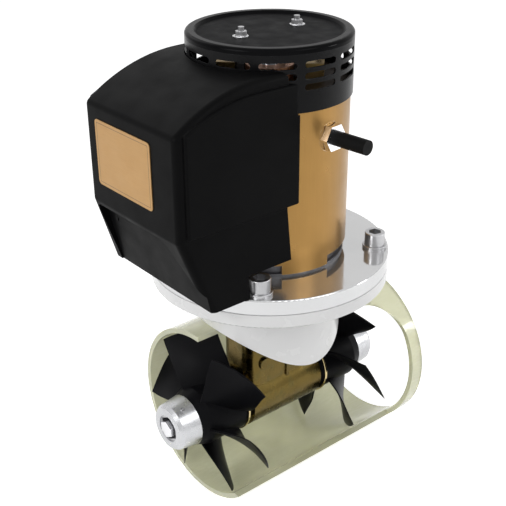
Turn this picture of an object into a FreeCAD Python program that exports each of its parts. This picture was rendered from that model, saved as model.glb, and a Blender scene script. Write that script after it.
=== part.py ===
import FreeCAD, Part
import math
import os
import Sketcher
from FreeCAD import Placement, Rotation, Vector

# Electric bow thruster: a motor on a bolted flange, a bevel-gear leg that hangs from the
# flange into a tunnel cut open on one side, and a propeller on each end of the cross shaft.
# Origin: where the motor's axis (Z) crosses the tunnel's axis (Y).  +Y runs to the far
# propeller, the cover stands on the -Y side, and the tunnel is open on the +X side.

document = FreeCAD.newDocument("BowThruster")
sheet = document.addObject("Spreadsheet::Sheet", "Sizes")

SIZES = (
    # tunnel and its cut-away window
    ("tunnel_bore", 185.0),
    ("tunnel_wall", 5.5),
    ("tunnel_near_reach", 100.0),
    ("tunnel_far_reach", 149.0),
    ("window_far_reach", 133.0),
    ("window_sill", 71.0),
    ("window_head", 84.0),
    ("window_corner", 40.0),
    ("window_start", 3.0),
    # flanges between the tunnel and the motor
    ("saddle_radius", 76.0),
    ("saddle_wall", 8.0),
    ("flange_radius", 125.5),
    ("flange_underside", 144.0),
    ("flange_thickness", 14.2),
    ("flange_bore", 50.0),
    ("gasket_thickness", 0.8),
    ("gasket_bore", 64.0),
    ("gasket_inset", 1.2),
    ("bracket_thickness", 15.7),
    ("bracket_bore", 34.0),
    ("edge_radius", 1.6),
    # cap screws that clamp the two flanges
    ("bolt_edge_distance", 15.0),
    ("bolt_count", 4.0),
    ("bolt_diameter", 14.0),
    ("bolt_head_diameter", 21.0),
    ("bolt_head_height", 14.0),
    ("bolt_socket_flats", 12.0),
    ("bolt_socket_depth", 7.0),
    ("washer_diameter", 25.0),
    ("washer_thickness", 3.5),
    # electric motor
    ("adapter_height", 3.0),
    ("adapter_radius", 77.0),
    ("adapter_bore", 40.0),
    ("foot_height", 10.0),
    ("motor_radius", 79.7),
    ("yoke_wall", 6.0),
    ("yoke_height", 164.3),
    ("skirt_window_angle", 52.0),
    ("motor_shaft_radius", 10.0),
    ("magnet_thickness", 11.0),
    ("magnet_length", 122.0),
    ("magnet_angle", 68.0),
    ("air_gap", 1.2),
    ("core_length", 112.0),
    ("core_slot_width", 5.0),
    ("core_slot_depth", 14.0),
    ("core_slot_count", 16.0),
    ("winding_height", 12.0),
    ("commutator_radius", 24.0),
    ("commutator_length", 27.0),
    ("brush_plate_thickness", 3.5),
    ("brush_width", 12.0),
    ("brush_gap", 0.3),
    # vented band and cap over the brush gear
    ("band_radius", 81.8),
    ("band_wall", 1.6),
    ("band_overlap", 8.5),
    ("band_height", 54.5),
    ("slot_height", 6.4),
    ("slot_angle", 24.0),
    ("slot_pitch", 10.4),
    ("slot_first_height", 27.0),
    ("slot_count", 10.0),
    ("top_frame_thickness", 7.0),
    ("upper_bearing_width", 11.0),
    ("boss_wall", 7.0),
    ("cap_plate_thickness", 3.0),
    ("cap_rim_height", 6.0),
    ("cap_rim_width", 9.0),
    ("cap_stud_spacing", 70.0),
    ("cap_stud_diameter", 6.0),
    # power terminal on the side of the motor
    ("terminal_drop", 29.5),
    ("terminal_angle", 5.5),
    ("terminal_stud_diameter", 10.0),
    ("terminal_nut_flats", 24.0),
    ("terminal_nut_height", 9.0),
    ("terminal_sleeve_diameter", 14.6),
    ("terminal_sleeve_length", 38.0),
    ("terminal_seat_depth", 1.3),
    # moulded cover
    ("cover_half_width", 73.5),
    ("cover_flare", 9.0),
    ("cover_wall", 3.5),
    ("cover_front", 166.0),
    ("cover_rear", 40.0),
    ("cover_brow", 349.0),
    ("cover_top", 384.0),
    ("cover_crown_start", 60.0),
    ("cover_waist", 250.0),
    ("cover_toe", 140.0),
    ("cover_bottom", 176.0),
    ("cover_side_gap_height", 24.3),
    ("cover_side_gap_start", 94.0),
    ("cover_corner_radius", 7.0),
    ("panel_proud", 3.0),
    ("panel_bottom", 253.0),
    ("panel_top", 372.0),
    ("panel_front", 158.0),
    ("panel_crown_start", 76.0),
    ("panel_brow", 351.0),
    ("panel_rear", 27.0),
    ("recess_left", 68.0),
    ("recess_top", 246.0),
    ("recess_depth", 11.0),
    ("recess_toe_depth", 1.5),
    ("recess_corner", 8.0),
    ("recess_bend_start", 36.0),
    ("recess_bend_width", 14.0),
    ("recess_bend_drop", 7.6),
    ("recess_slope_width", 36.0),
    ("recess_slope_drop", 55.4),
    ("motor_clearance", 0.8),
    ("label_width", 90.0),
    ("label_height", 65.0),
    ("label_thickness", 0.8),
    ("label_offset", 10.0),
    ("label_centre_height", 303.5),
    # relays under the cover
    ("relay_radius", 20.0),
    ("relay_length", 60.0),
    ("relay_cap_height", 5.0),
    ("relay_stud_radius", 4.0),
    ("relay_stud_length", 14.0),
    ("relay_stud_offset", 9.0),
    ("relay_spacing", 54.0),
    ("relay_plate_thickness", 3.0),
    ("relay_plate_height", 120.0),
    ("relay_base_height", 40.0),
    # gear leg
    ("gear_tube_radius", 34.0),
    ("gear_tube_reach", 52.0),
    ("gear_tube_bevel", 3.0),
    ("gear_cavity_radius", 29.0),
    ("gear_cavity_reach", 34.0),
    ("leg_half_width", 26.0),
    ("leg_half_length", 49.0),
    ("leg_plate_radius", 62.0),
    ("leg_plate_thickness", 9.0),
    ("leg_screw_circle", 56.0),
    ("leg_screw_count", 6.0),
    ("leg_screw_diameter", 6.0),
    ("plug_radius", 7.0),
    ("plug_distance", 29.4),
    ("plug_height", 48.0),
    ("plug_thickness", 3.0),
    # shafts, gears and bearings of the leg
    ("crown_teeth", 24.0),
    ("pinion_teeth", 12.0),
    ("gear_module", 2.2),
    ("gear_face", 9.0),
    ("gear_backlash", 0.35),
    ("crown_hub_radius", 17.0),
    ("pinion_hub_radius", 10.5),
    ("pinion_shoulder", 1.5),
    ("prop_shaft_radius", 10.0),
    ("prop_bearing_radius", 21.0),
    ("prop_bearing_width", 12.0),
    ("seal_radius", 15.0),
    ("running_clearance", 0.05),
    ("pinion_shaft_radius", 7.5),
    ("pinion_bearing_radius", 17.5),
    ("pinion_bearing_width", 11.0),
    ("pinion_bearing_height", 40.0),
    ("coupling_radius", 24.0),
    ("coupling_hub_height", 10.0),
    ("coupling_jaw_height", 9.0),
    ("coupling_clearance", 2.0),
    # propellers and their nose cones
    ("blade_count", 6.0),
    ("prop_radius", 89.5),
    ("prop_pitch", 300.0),
    ("prop_phase_near", -8.0),
    ("prop_phase_far", 2.0),
    ("blade_root_chord", 56.0),
    ("blade_tip_chord", 68.0),
    ("blade_root_thickness", 6.0),
    ("blade_tip_thickness", 2.4),
    ("blade_skew", -18.0),
    ("prop_gap", 2.5),
    ("hub_radius", 33.0),
    ("hub_nose_radius", 28.5),
    ("hub_length", 62.0),
    ("nose_length", 24.5),
    ("nose_tip_radius", 23.0),
    ("nose_nut_radius", 15.0),
    ("nose_socket_flats", 24.0),
    ("nose_socket_depth", 10.0),
    ("shaft_end_length", 12.0),
    ("drive_pin_radius", 3.0),
)


class Size:
    """A number together with the spreadsheet expression that gives it."""

    def __init__(self, value, text):
        self.value = float(value)
        self.text = text

    def joined(self, sign, other, value):
        return Size(value, "(%s %s %s)" % (self.text, sign, other.text))

    def __add__(self, other):
        other = size(other)
        return self.joined("+", other, self.value + other.value)

    def __sub__(self, other):
        other = size(other)
        return self.joined("-", other, self.value - other.value)

    def __mul__(self, other):
        other = size(other)
        return self.joined("*", other, self.value * other.value)

    def __truediv__(self, other):
        other = size(other)
        return self.joined("/", other, self.value / other.value)

    def __radd__(self, other):
        return size(other) + self

    def __rsub__(self, other):
        return size(other) - self

    def __rmul__(self, other):
        return size(other) * self

    def __neg__(self):
        return Size(-self.value, "(-%s)" % self.text)


def size(value):
    """Return value as a Size; a bare number stands for itself."""
    if isinstance(value, Size):
        return value
    return Size(value, "(%r)" % float(value))


def size_sin(angle):
    return Size(math.sin(math.radians(angle.value)), "sin(%s)" % angle.text)


def size_cos(angle):
    return Size(math.cos(math.radians(angle.value)), "cos(%s)" % angle.text)


s = {}
for row, (alias, number) in enumerate(SIZES, start=1):
    sheet.set("A%d" % row, alias.replace("_", " "))
    sheet.set("B%d" % row, str(number))
    sheet.setAlias("B%d" % row, alias)
    s[alias] = Size(number, "Sizes.%s" % alias)
document.recompute()

ZERO = size(0.0)
FULL_TURN = 360.0
OVERCUT = 2.0            # how far a cutting shape runs past what it cuts
SIDES = {"near": -1.0, "far": 1.0}

# ---------------------------------------------------------------- levels along the motor axis

tunnel_inner = s["tunnel_bore"] / 2.0
tunnel_outer = tunnel_inner + s["tunnel_wall"]
flange_top = s["flange_underside"] + s["flange_thickness"]
bolt_circle = s["flange_radius"] - s["bolt_edge_distance"]
bracket_bottom = flange_top + s["gasket_thickness"]
bracket_top = bracket_bottom + s["bracket_thickness"]
foot_bottom = bracket_top + s["adapter_height"]
yoke_bottom = foot_bottom + s["foot_height"]
yoke_top = yoke_bottom + s["yoke_height"]
yoke_inner = s["motor_radius"] - s["yoke_wall"]
motor_middle = (yoke_bottom + yoke_top) / 2.0
band_bottom = yoke_top - s["band_overlap"]
band_top = band_bottom + s["band_height"]
terminal_level = band_bottom - s["terminal_drop"]
band_inner = s["band_radius"] - s["band_wall"]
cap_plate_top = band_top + s["cap_plate_thickness"]
cap_top = band_top + s["cap_rim_height"]
core_radius = yoke_inner - s["magnet_thickness"] - s["air_gap"]
core_bottom = motor_middle - s["core_length"] / 2.0
core_top = core_bottom + s["core_length"]
commutator_bottom = core_top + s["winding_height"] + 5.0
commutator_top = commutator_bottom + s["commutator_length"]
brush_plate_top = yoke_top + s["brush_plate_thickness"]
top_frame_bottom = band_top - s["top_frame_thickness"]
hub_start = s["gear_tube_reach"] + s["prop_gap"]
hub_end = hub_start + s["hub_length"]
nose_end = hub_end + s["nose_length"]
coupling_split = bracket_bottom + 2.0
coupling_low = coupling_split - s["coupling_hub_height"]


# ---------------------------------------------------------------- helpers

def bind(item, name, amount):
    """Give item's property the amount now, and tie it to the spreadsheet."""
    amount = size(amount)
    item.setExpression(name, amount.text)


def new_body(name):
    body = document.addObject("PartDesign::Body", name)
    body.Label = name
    return body


def origin_plane(body, role):
    for feature in body.Origin.OriginFeatures:
        if feature.Role == role:
            return feature
    raise ValueError("no plane called " + role)


def new_sketch(body, name, role, offset=None):
    sketch = body.newObject("Sketcher::SketchObject", name)
    sketch.AttachmentSupport = [(origin_plane(body, role), "")]
    sketch.MapMode = "FlatFace"
    if offset is not None:
        sketch.AttachmentOffset = Placement(Vector(0, 0, offset.value), Rotation())
        bind(sketch, "AttachmentOffset.Base.z", offset)
    return sketch


def pin_point(sketch, curve, end, point):
    """Hold one end of a curve at point, measured from the sketch's origin."""
    for kind, amount, axis in (("DistanceX", point[0], -2), ("DistanceY", point[1], -1)):
        amount = size(amount)
        if abs(amount.value) < 1e-9:
            sketch.addConstraint(Sketcher.Constraint("PointOnObject", curve, end, axis))
            continue
        number = sketch.addConstraint(Sketcher.Constraint(kind, -1, 1, curve, end, amount.value))
        sketch.setExpression("Constraints[%d]" % number, amount.text)


def flat(point):
    return Vector(size(point[0]).value, size(point[1]).value, 0)


def tangent_arc(touch, direction, other):
    """Circle through touch and other that runs along direction at touch."""
    across = Vector(-direction.y, direction.x, 0)
    span = other - touch
    radius = span.dot(span) / (2.0 * across.dot(span))
    centre = touch + across * radius
    return centre, abs(radius)


def draw_outline(sketch, corners, arcs=()):
    """Draw a closed outline.  Side i runs from corner i to the next one; a side named in
    arcs is an arc that leaves its first corner along the side before it, which is straight."""
    points = [flat(corner) for corner in corners]
    count = len(points)
    first = sketch.GeometryCount
    ends = []
    for i in range(count):
        here, there = points[i], points[(i + 1) % count]
        if i not in arcs:
            sketch.addGeometry(Part.LineSegment(here, there))
            ends.append((1, 2))
            continue
        direction = (here - points[i - 1]).normalize()
        centre, radius = tangent_arc(here, direction, there)
        turn = (here - centre).cross(there - here).z
        start, stop = (here, there) if turn > 0 else (there, here)
        circle = Part.Circle(centre, Vector(0, 0, 1), radius)
        begin = math.atan2(start.y - centre.y, start.x - centre.x)
        finish = math.atan2(stop.y - centre.y, stop.x - centre.x)
        if finish < begin:
            finish += 2.0 * math.pi
        sketch.addGeometry(Part.ArcOfCircle(circle, begin, finish))
        ends.append((1, 2) if turn > 0 else (2, 1))
    for i in range(count):
        after = (i + 1) % count
        joint = (first + i, ends[i][1], first + after, ends[after][0])
        kind = "Tangent" if after in arcs else "Coincident"
        sketch.addConstraint(Sketcher.Constraint(kind, *joint))
    for i in range(count):
        pin_point(sketch, first + i, ends[i][0], corners[i])


def draw_circle(sketch, centre, radius):
    circle = Part.Circle(flat(centre), Vector(0, 0, 1), radius.value)
    curve = sketch.addGeometry(circle)
    pin_point(sketch, curve, 3, centre)
    number = sketch.addConstraint(Sketcher.Constraint("Radius", curve, radius.value))
    sketch.setExpression("Constraints[%d]" % number, radius.text)


def hexagon(centre, flats, turn=30.0):
    """Corners of a hexagon of the given width across its flats."""
    corner_radius = flats / (2.0 * math.cos(math.radians(30.0)))
    corners = []
    for i in range(6):
        angle = math.radians(turn + 60.0 * i)
        corners.append((centre[0] + corner_radius * math.cos(angle),
                        centre[1] + corner_radius * math.sin(angle)))
    return corners


def rounded_box(low, high, radius):
    """Corners and arc sides of a rectangle with rounded corners."""
    (left, bottom), (right, top) = low, high
    corners = [(left + radius, bottom), (right - radius, bottom), (right, bottom + radius),
               (right, top - radius), (right - radius, top), (left + radius, top),
               (left, top - radius), (left, bottom + radius)]
    return corners, (1, 3, 5, 7)


def revolved(name, role, corners, axis="V_Axis", angle=None, arcs=()):
    """A body of one revolved outline: about Z from the XZ plane, or about Y from YZ."""
    body = new_body(name)
    sketch = new_sketch(body, name + "_profile", role)
    draw_outline(sketch, corners, arcs)
    turn = body.newObject("PartDesign::Revolution", name + "_turn")
    turn.Profile = sketch
    turn.ReferenceAxis = (sketch, [axis])
    turn.Angle = FULL_TURN
    if angle is not None:
        bind(turn, "Angle", angle)
        turn.Midplane = True
    return body


def turned(name, corners, angle=None, arcs=()):
    """Revolve (radius, height) corners about the motor's axis."""
    return revolved(name, "XZ_Plane", corners, "V_Axis", angle, arcs)


def turned_across(name, corners, arcs=()):
    """Revolve (along, radius) corners about the tunnel's axis."""
    return revolved(name, "YZ_Plane", corners, "H_Axis", None, arcs)


def ring(name, inner, outer, bottom, top):
    return turned(name, [(inner, bottom), (outer, bottom), (outer, top), (inner, top)])


def ring_across(name, inner, outer, start, stop):
    return turned_across(name, [(start, inner), (stop, inner), (stop, outer), (start, outer)])


def pad(body, sketch, length, both_ways=False):
    feature = body.newObject("PartDesign::Pad", sketch.Name + "_pad")
    feature.Profile = sketch
    bind(feature, "Length", length)
    feature.Midplane = both_ways
    return feature


def pocket(body, sketch, length, forward=False, both_ways=False):
    """Cut sketch out of body; forward cuts along the sketch's normal."""
    feature = body.newObject("PartDesign::Pocket", sketch.Name + "_cut")
    feature.Profile = sketch
    bind(feature, "Length", length)
    feature.Reversed = forward
    feature.Midplane = both_ways
    return feature


def repeat(body, feature, count, role="Z_Axis"):
    pattern = body.newObject("PartDesign::PolarPattern", feature.Name + "_ring")
    pattern.Originals = [feature]
    for axis in body.Origin.OriginFeatures:
        if axis.Role == role:
            pattern.Axis = (axis, [""])
    pattern.Angle = FULL_TURN
    bind(pattern, "Occurrences", count)
    body.Tip = pattern
    return pattern


def find_edges(shape, wanted):
    return ["Edge%d" % (i + 1) for i, edge in enumerate(shape.Edges) if wanted(edge)]


def round_edges(body, radius, wanted, kind="Fillet"):
    """Round (or bevel) the edges of the body's last feature that pass the wanted test."""
    document.recompute()
    base = body.Tip
    names = find_edges(base.Shape, wanted)
    if not names:
        raise ValueError("no edge to round on " + body.Label)
    feature = body.newObject("PartDesign::" + kind, body.Name + "_" + kind.lower())
    feature.Base = (base, names)
    bind(feature, "Radius" if kind == "Fillet" else "Size", radius)
    return feature


def is_circle(edge, radius, along, position):
    """True for a full circle of that radius whose centre is at position along an axis."""
    curve = edge.Curve
    if not isinstance(curve, Part.Circle) or abs(curve.Radius - radius) > 1e-3:
        return False
    return abs(getattr(curve.Center, along) - position) < 1e-3


def check_cut(body, cut):
    """A cut that removes nothing is a mistake."""
    document.recompute()
    if cut.Shape.Volume >= cut.BaseFeature.Shape.Volume - 1e-3:
        raise ValueError("nothing was cut from " + body.Label)


def group(name, item, places):
    """One node that holds a copy of item at each place (x, y, z, turn about Z)."""
    links = []
    for i, (x, y, z, turn) in enumerate(places):
        link = document.addObject("App::Link", "%s_copy_%d" % (name, i + 1))
        link.LinkedObject = item
        link.Placement = Placement(Vector(0, 0, 0), Rotation(Vector(0, 0, 1), turn))
        for letter, amount in (("x", x), ("y", y), ("z", z)):
            bind(link, "Placement.Base." + letter, amount)
        links.append(link)
    compound = document.addObject("Part::Compound", name)
    compound.Links = links
    compound.Label = name
    return compound


def circle_places(radius, count, start_angle, height=ZERO):
    """Places evenly round the motor's axis, each turned to face outwards."""
    places = []
    for i in range(int(count.value)):
        angle = start_angle + FULL_TURN * i / count.value
        x = radius * math.cos(math.radians(angle))
        y = radius * math.sin(math.radians(angle))
        places.append((x, y, height, angle))
    return places


def made(name, shape):
    """A sub-part whose shape is made with Part's own functions."""
    feature = document.addObject("Part::Feature", name)
    feature.Label = name
    feature.Shape = shape
    return feature


nodes = []


def keep(*items):
    nodes.extend(items)


# ---------------------------------------------------------------- tunnel and flanges

def make_tunnel():
    """Moulded tube with a window cut in its +X side and a hole for the saddle on top."""
    body = ring_across("tunnel", tunnel_inner, tunnel_outer,
                       -s["tunnel_near_reach"], s["tunnel_far_reach"])
    start = -s["tunnel_near_reach"] - OVERCUT
    corner = s["window_corner"]
    far = s["window_far_reach"]
    head = s["window_head"]
    over = tunnel_outer + OVERCUT
    sketch = new_sketch(body, "window", "YZ_Plane", s["window_start"])
    draw_outline(sketch, [(start, -s["window_sill"]), (far, -s["window_sill"]),
                          (far, head - corner), (far - corner, head), (ZERO, head),
                          (ZERO, over), (start, over)], arcs=(2,))
    check_cut(body, pocket(body, sketch, over, forward=True))
    hole = new_sketch(body, "saddle_hole", "XY_Plane", ZERO)
    draw_circle(hole, (ZERO, ZERO), s["saddle_radius"] - s["saddle_wall"])
    check_cut(body, pocket(body, hole, over, forward=True))
    return body


def make_saddle_flange():
    """Round flange on a short skirt that is cut to sit on the tunnel."""
    skirt = s["saddle_radius"]
    inner = skirt - s["saddle_wall"]
    under = s["flange_underside"]
    blend = s["saddle_wall"]
    body = turned("saddle_flange", [
        (inner, ZERO), (skirt, ZERO), (skirt, under - blend), (skirt + blend, under),
        (s["flange_radius"], under), (s["flange_radius"], flange_top),
        (s["flange_bore"], flange_top), (s["flange_bore"], under), (inner, under)],
        arcs=(2,))
    bore = new_sketch(body, "tunnel_seat", "XZ_Plane")
    draw_circle(bore, (ZERO, ZERO), tunnel_outer)
    length = 2.0 * s["flange_radius"] + OVERCUT
    check_cut(body, pocket(body, bore, length, both_ways=True))
    rim = s["flange_radius"].value
    round_edges(body, s["edge_radius"],
                lambda edge: is_circle(edge, rim, "z", under.value))
    return body


def bolt_holes(body, top, depth, circle, count, diameter, start_angle):
    sketch = new_sketch(body, body.Name + "_bolt_hole", "XY_Plane", top)
    angle = math.radians(start_angle)
    centre = (circle * math.cos(angle), circle * math.sin(angle))
    draw_circle(sketch, centre, diameter / 2.0)
    cut = pocket(body, sketch, depth)
    check_cut(body, cut)
    repeat(body, cut, count)


BOLT_START = 45.0
LEG_SCREW_START = 30.0
HEAD_ROOM = 1.0          # air over a screw head that is sunk in the bracket

keep(make_tunnel())
saddle_flange = make_saddle_flange()
bolt_holes(saddle_flange, flange_top, s["flange_thickness"], bolt_circle,
           s["bolt_count"], s["bolt_diameter"], BOLT_START)
bolt_holes(saddle_flange, flange_top, s["flange_thickness"] + OVERCUT, s["leg_screw_circle"],
           s["leg_screw_count"], s["leg_screw_diameter"], LEG_SCREW_START)
keep(saddle_flange)

gasket = ring("flange_gasket", s["gasket_bore"], s["flange_radius"] - s["gasket_inset"],
              flange_top, bracket_bottom)
bolt_holes(gasket, bracket_bottom, s["gasket_thickness"], bolt_circle,
           s["bolt_count"], s["bolt_diameter"], BOLT_START)
keep(gasket)

bracket = ring("motor_bracket", s["bracket_bore"], s["flange_radius"], bracket_bottom,
               bracket_top)
round_edges(bracket, s["edge_radius"],
            lambda edge: is_circle(edge, s["flange_radius"].value, "z", bracket_top.value))
bolt_holes(bracket, bracket_top, s["bracket_thickness"], bolt_circle,
           s["bolt_count"], s["bolt_diameter"], BOLT_START)
relief_diameter = s["leg_screw_diameter"] * 2.2
relief_depth = s["leg_screw_diameter"] + HEAD_ROOM
bolt_holes(bracket, bracket_bottom + relief_depth, relief_depth, s["leg_screw_circle"],
           s["leg_screw_count"], relief_diameter, LEG_SCREW_START)
keep(bracket)


def make_cap_screw(name, shank, length, head, head_height, flats, socket):
    """Socket-head cap screw standing on Z = 0, shank downwards."""
    body = turned(name, [(ZERO, -length), (shank / 2.0, -length), (shank / 2.0, ZERO),
                         (head / 2.0, ZERO), (head / 2.0, head_height),
                         (ZERO, head_height)])
    round_edges(body, head / 20.0,
                lambda edge: is_circle(edge, head.value / 2.0, "z", head_height.value))
    sketch = new_sketch(body, name + "_socket", "XY_Plane", head_height)
    draw_outline(sketch, hexagon((ZERO, ZERO), flats))
    check_cut(body, pocket(body, sketch, socket))
    return body


grip = s["washer_thickness"] + s["bracket_thickness"] + s["gasket_thickness"]
cap_screw = make_cap_screw("cap_screw", s["bolt_diameter"], grip + s["flange_thickness"],
                           s["bolt_head_diameter"], s["bolt_head_height"],
                           s["bolt_socket_flats"], s["bolt_socket_depth"])
keep(group("bracket_screws", cap_screw,
           circle_places(bolt_circle, s["bolt_count"], BOLT_START,
                         bracket_top + s["washer_thickness"])))
washer = ring("washer", s["bolt_diameter"] / 2.0, s["washer_diameter"] / 2.0, ZERO,
              s["washer_thickness"])
round_edges(washer, s["washer_thickness"] / 6.0,
            lambda edge: is_circle(edge, s["washer_diameter"].value / 2.0, "z",
                                   s["washer_thickness"].value))
keep(group("bracket_washers", washer,
           circle_places(bolt_circle, s["bolt_count"], BOLT_START, bracket_top)))

# ---------------------------------------------------------------- motor, fixed pieces

keep(ring("adapter_ring", s["adapter_bore"], s["adapter_radius"], bracket_top, foot_bottom))


def bearing_seat(inner, outer, seat, bottom, top, lip):
    """Ring profile with a bearing seat above a narrower lip."""
    return [(inner, bottom), (outer, bottom), (outer, top), (seat, top), (seat, bottom + lip),
            (inner, bottom + lip)]


MOTOR_SHAFT_ROOM = 2.0
FOOT_LIP = 2.0
motor_bearing_radius = s["motor_shaft_radius"] + 11.0
keep(turned("motor_foot", bearing_seat(s["motor_shaft_radius"] + MOTOR_SHAFT_ROOM, yoke_inner,
                                       motor_bearing_radius, foot_bottom, yoke_bottom,
                                       size(FOOT_LIP))))


def make_yoke_tube():
    """Steel tube whose lower edge is cut back between four skirts."""
    body = ring("yoke_tube", yoke_inner, s["motor_radius"], foot_bottom, yoke_top)
    half = s["skirt_window_angle"] / 2.0
    reach = s["motor_radius"] + OVERCUT * 8.0
    middle = size(SKIRT_START)
    sketch = new_sketch(body, "skirt_window", "XY_Plane", foot_bottom)
    corners = [(ZERO, ZERO)]
    for side in (middle - half, middle + half):
        corners.append((reach * size_cos(side), reach * size_sin(side)))
    draw_outline(sketch, corners)
    cut = pocket(body, sketch, s["foot_height"], forward=True)
    check_cut(body, cut)
    repeat(body, cut, size(4.0))
    for label, radius, start in (
            ("terminal_hole", s["terminal_stud_diameter"] / 2.0, ZERO),
            ("terminal_seat", s["terminal_nut_flats"] * 0.6,
             s["motor_radius"] - s["terminal_seat_depth"])):
        hole = new_sketch(body, label, "YZ_Plane", start)
        draw_circle(hole, (ZERO, terminal_level), radius)
        check_cut(body, pocket(body, hole, s["motor_radius"] + OVERCUT, forward=True))
    return face_terminal(body)


def face_terminal(body):
    """Turn a body made with the terminal on +X round to the terminal's direction."""
    turn = Rotation(Vector(0, 0, 1), s["terminal_angle"].value)
    body.Placement = Placement(Vector(0, 0, 0), turn)
    bind(body, "Placement.Rotation.Angle", s["terminal_angle"])
    return body


SKIRT_START = 27.0
keep(make_yoke_tube())

magnet = turned("magnet", [(yoke_inner - s["magnet_thickness"], ZERO), (yoke_inner, ZERO),
                           (yoke_inner, s["magnet_length"]),
                           (yoke_inner - s["magnet_thickness"], s["magnet_length"])],
                angle=s["magnet_angle"])
keep(group("field_magnets", magnet,
           circle_places(ZERO, size(4.0), 45.0, motor_middle - s["magnet_length"] / 2.0)))

brush_inner = s["commutator_radius"] + 8.0
keep(ring("brush_plate", brush_inner, s["motor_radius"], yoke_top, brush_plate_top))


def make_block(name, start, stop, half_width, bottom, top, window=None):
    """Block on the +X side of the axis, with an optional square way through it along X."""
    body = new_body(name)
    sketch = new_sketch(body, name + "_plan", "XY_Plane", bottom)
    draw_outline(sketch, [(start, -half_width), (stop, -half_width), (stop, half_width),
                          (start, half_width)])
    pad(body, sketch, top - bottom)
    if window is not None:
        half, low, high = window
        way = new_sketch(body, name + "_way", "YZ_Plane", start)
        draw_outline(way, [(-half, low), (half, low), (half, high), (-half, high)])
        check_cut(body, pocket(body, way, stop - start, forward=True))
    return body


brush_low = brush_plate_top + 2.0
brush_high = brush_low + s["brush_width"]
brush_half = s["brush_width"] / 2.0
brush_start = s["commutator_radius"] + s["brush_gap"]
holder_start = brush_inner + 1.0
holder_stop = holder_start + 20.0
BRUSH_START = 45.0
holder = make_block("brush_holder", holder_start, holder_stop, brush_half + 2.0,
                    brush_plate_top, brush_high + 2.0, (brush_half, brush_low, brush_high))
keep(group("brush_holders", holder, circle_places(ZERO, size(4.0), BRUSH_START)))
brush = make_block("brush", brush_start, holder_stop - 4.0, brush_half, brush_low, brush_high)
keep(group("carbon_brushes", brush, circle_places(ZERO, size(4.0), BRUSH_START)))


def make_vent_band():
    """Thin band round the brush gear, with rows of round-ended slots."""
    body = ring("vent_band", band_inner, s["band_radius"], band_bottom, band_top)
    sketch = new_sketch(body, "vent_slots", "XZ_Plane")
    half = s["band_radius"] * size_sin(s["slot_angle"] / 2.0)
    end = s["slot_height"] / 2.0
    for row in range(3):
        middle = band_bottom + s["slot_first_height"] + s["slot_pitch"] * row - end
        corners = [(-half + end, middle - end), (half - end, middle - end),
                   (half - end, middle + end), (-half + end, middle + end)]
        draw_outline(sketch, corners, arcs=(1, 3))
    cut = pocket(body, sketch, s["band_radius"] + OVERCUT, forward=True)
    check_cut(body, cut)
    repeat(body, cut, s["slot_count"])
    body.Placement = Placement(Vector(0, 0, 0), Rotation(Vector(0, 0, 1), SLOT_START))
    return body


SLOT_START = 82.0
keep(make_vent_band())

upper_shaft_radius = s["motor_shaft_radius"] * 0.75
upper_bearing_radius = upper_shaft_radius + 10.0
boss_bottom = top_frame_bottom - s["upper_bearing_width"]
boss_outer = upper_bearing_radius + s["boss_wall"]
FRAME_FIT = 0.1
top_frame = turned("top_frame", [
    (upper_bearing_radius, boss_bottom), (boss_outer, boss_bottom),
    (boss_outer, top_frame_bottom), (band_inner - FRAME_FIT, top_frame_bottom),
    (band_inner - FRAME_FIT, band_top), (ZERO, band_top), (ZERO, top_frame_bottom),
    (upper_bearing_radius, top_frame_bottom)])
keep(top_frame)


def stud_holes(body, top, depth):
    sketch = new_sketch(body, body.Name + "_stud_holes", "XY_Plane", top)
    for side in (-1.0, 1.0):
        draw_circle(sketch, (ZERO, s["cap_stud_spacing"] / 2.0 * side),
                    s["cap_stud_diameter"] / 2.0)
    check_cut(body, pocket(body, sketch, depth))


stud_holes(top_frame, band_top, s["top_frame_thickness"])

rim_inner = s["band_radius"] - s["cap_rim_width"]
cap = turned("top_cap", [
    (ZERO, band_top), (s["band_radius"], band_top), (s["band_radius"], cap_top),
    (rim_inner, cap_top), (rim_inner - s["cap_plate_thickness"], cap_plate_top),
    (ZERO, cap_plate_top)])
round_edges(cap, s["cap_rim_height"] * 0.6,
            lambda edge: is_circle(edge, s["band_radius"].value, "z", cap_top.value))
stud_holes(cap, cap_plate_top, s["cap_plate_thickness"])
keep(cap)

nut_height = s["cap_stud_diameter"] * 0.85
stud_length = s["top_frame_thickness"] + s["cap_plate_thickness"] + nut_height + 4.0
stud = turned("stud", [(ZERO, ZERO), (s["cap_stud_diameter"] / 2.0, ZERO),
                       (s["cap_stud_diameter"] / 2.0, stud_length), (ZERO, stud_length)])
stud_places = [(ZERO, s["cap_stud_spacing"] / 2.0 * side, top_frame_bottom, 0.0)
               for side in (-1.0, 1.0)]
keep(group("cap_studs", stud, stud_places))


def make_nut(name, flats, height, bore):
    body = new_body(name)
    sketch = new_sketch(body, name + "_plan", "XY_Plane")
    draw_outline(sketch, hexagon((ZERO, ZERO), flats))
    draw_circle(sketch, (ZERO, ZERO), bore / 2.0)
    pad(body, sketch, height)
    return body


nut = make_nut("nut", s["cap_stud_diameter"] * 1.7, nut_height, s["cap_stud_diameter"])
nut_places = [(x, y, cap_plate_top, turn) for x, y, z, turn in stud_places]
keep(group("cap_nuts", nut, nut_places))


def stand_out(body, start):
    """Lay a body that was made along Z out along the terminal's direction."""
    turn = Rotation(Vector(0, 0, 1), s["terminal_angle"].value)
    lie = turn.multiply(Rotation(Vector(0, 1, 0), 90.0))
    body.Placement = Placement(Vector(0, 0, 0), lie)
    angle = s["terminal_angle"]
    bind(body, "Placement.Base.x", start * size_cos(angle))
    bind(body, "Placement.Base.y", start * size_sin(angle))
    bind(body, "Placement.Base.z", terminal_level)
    return body


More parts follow.
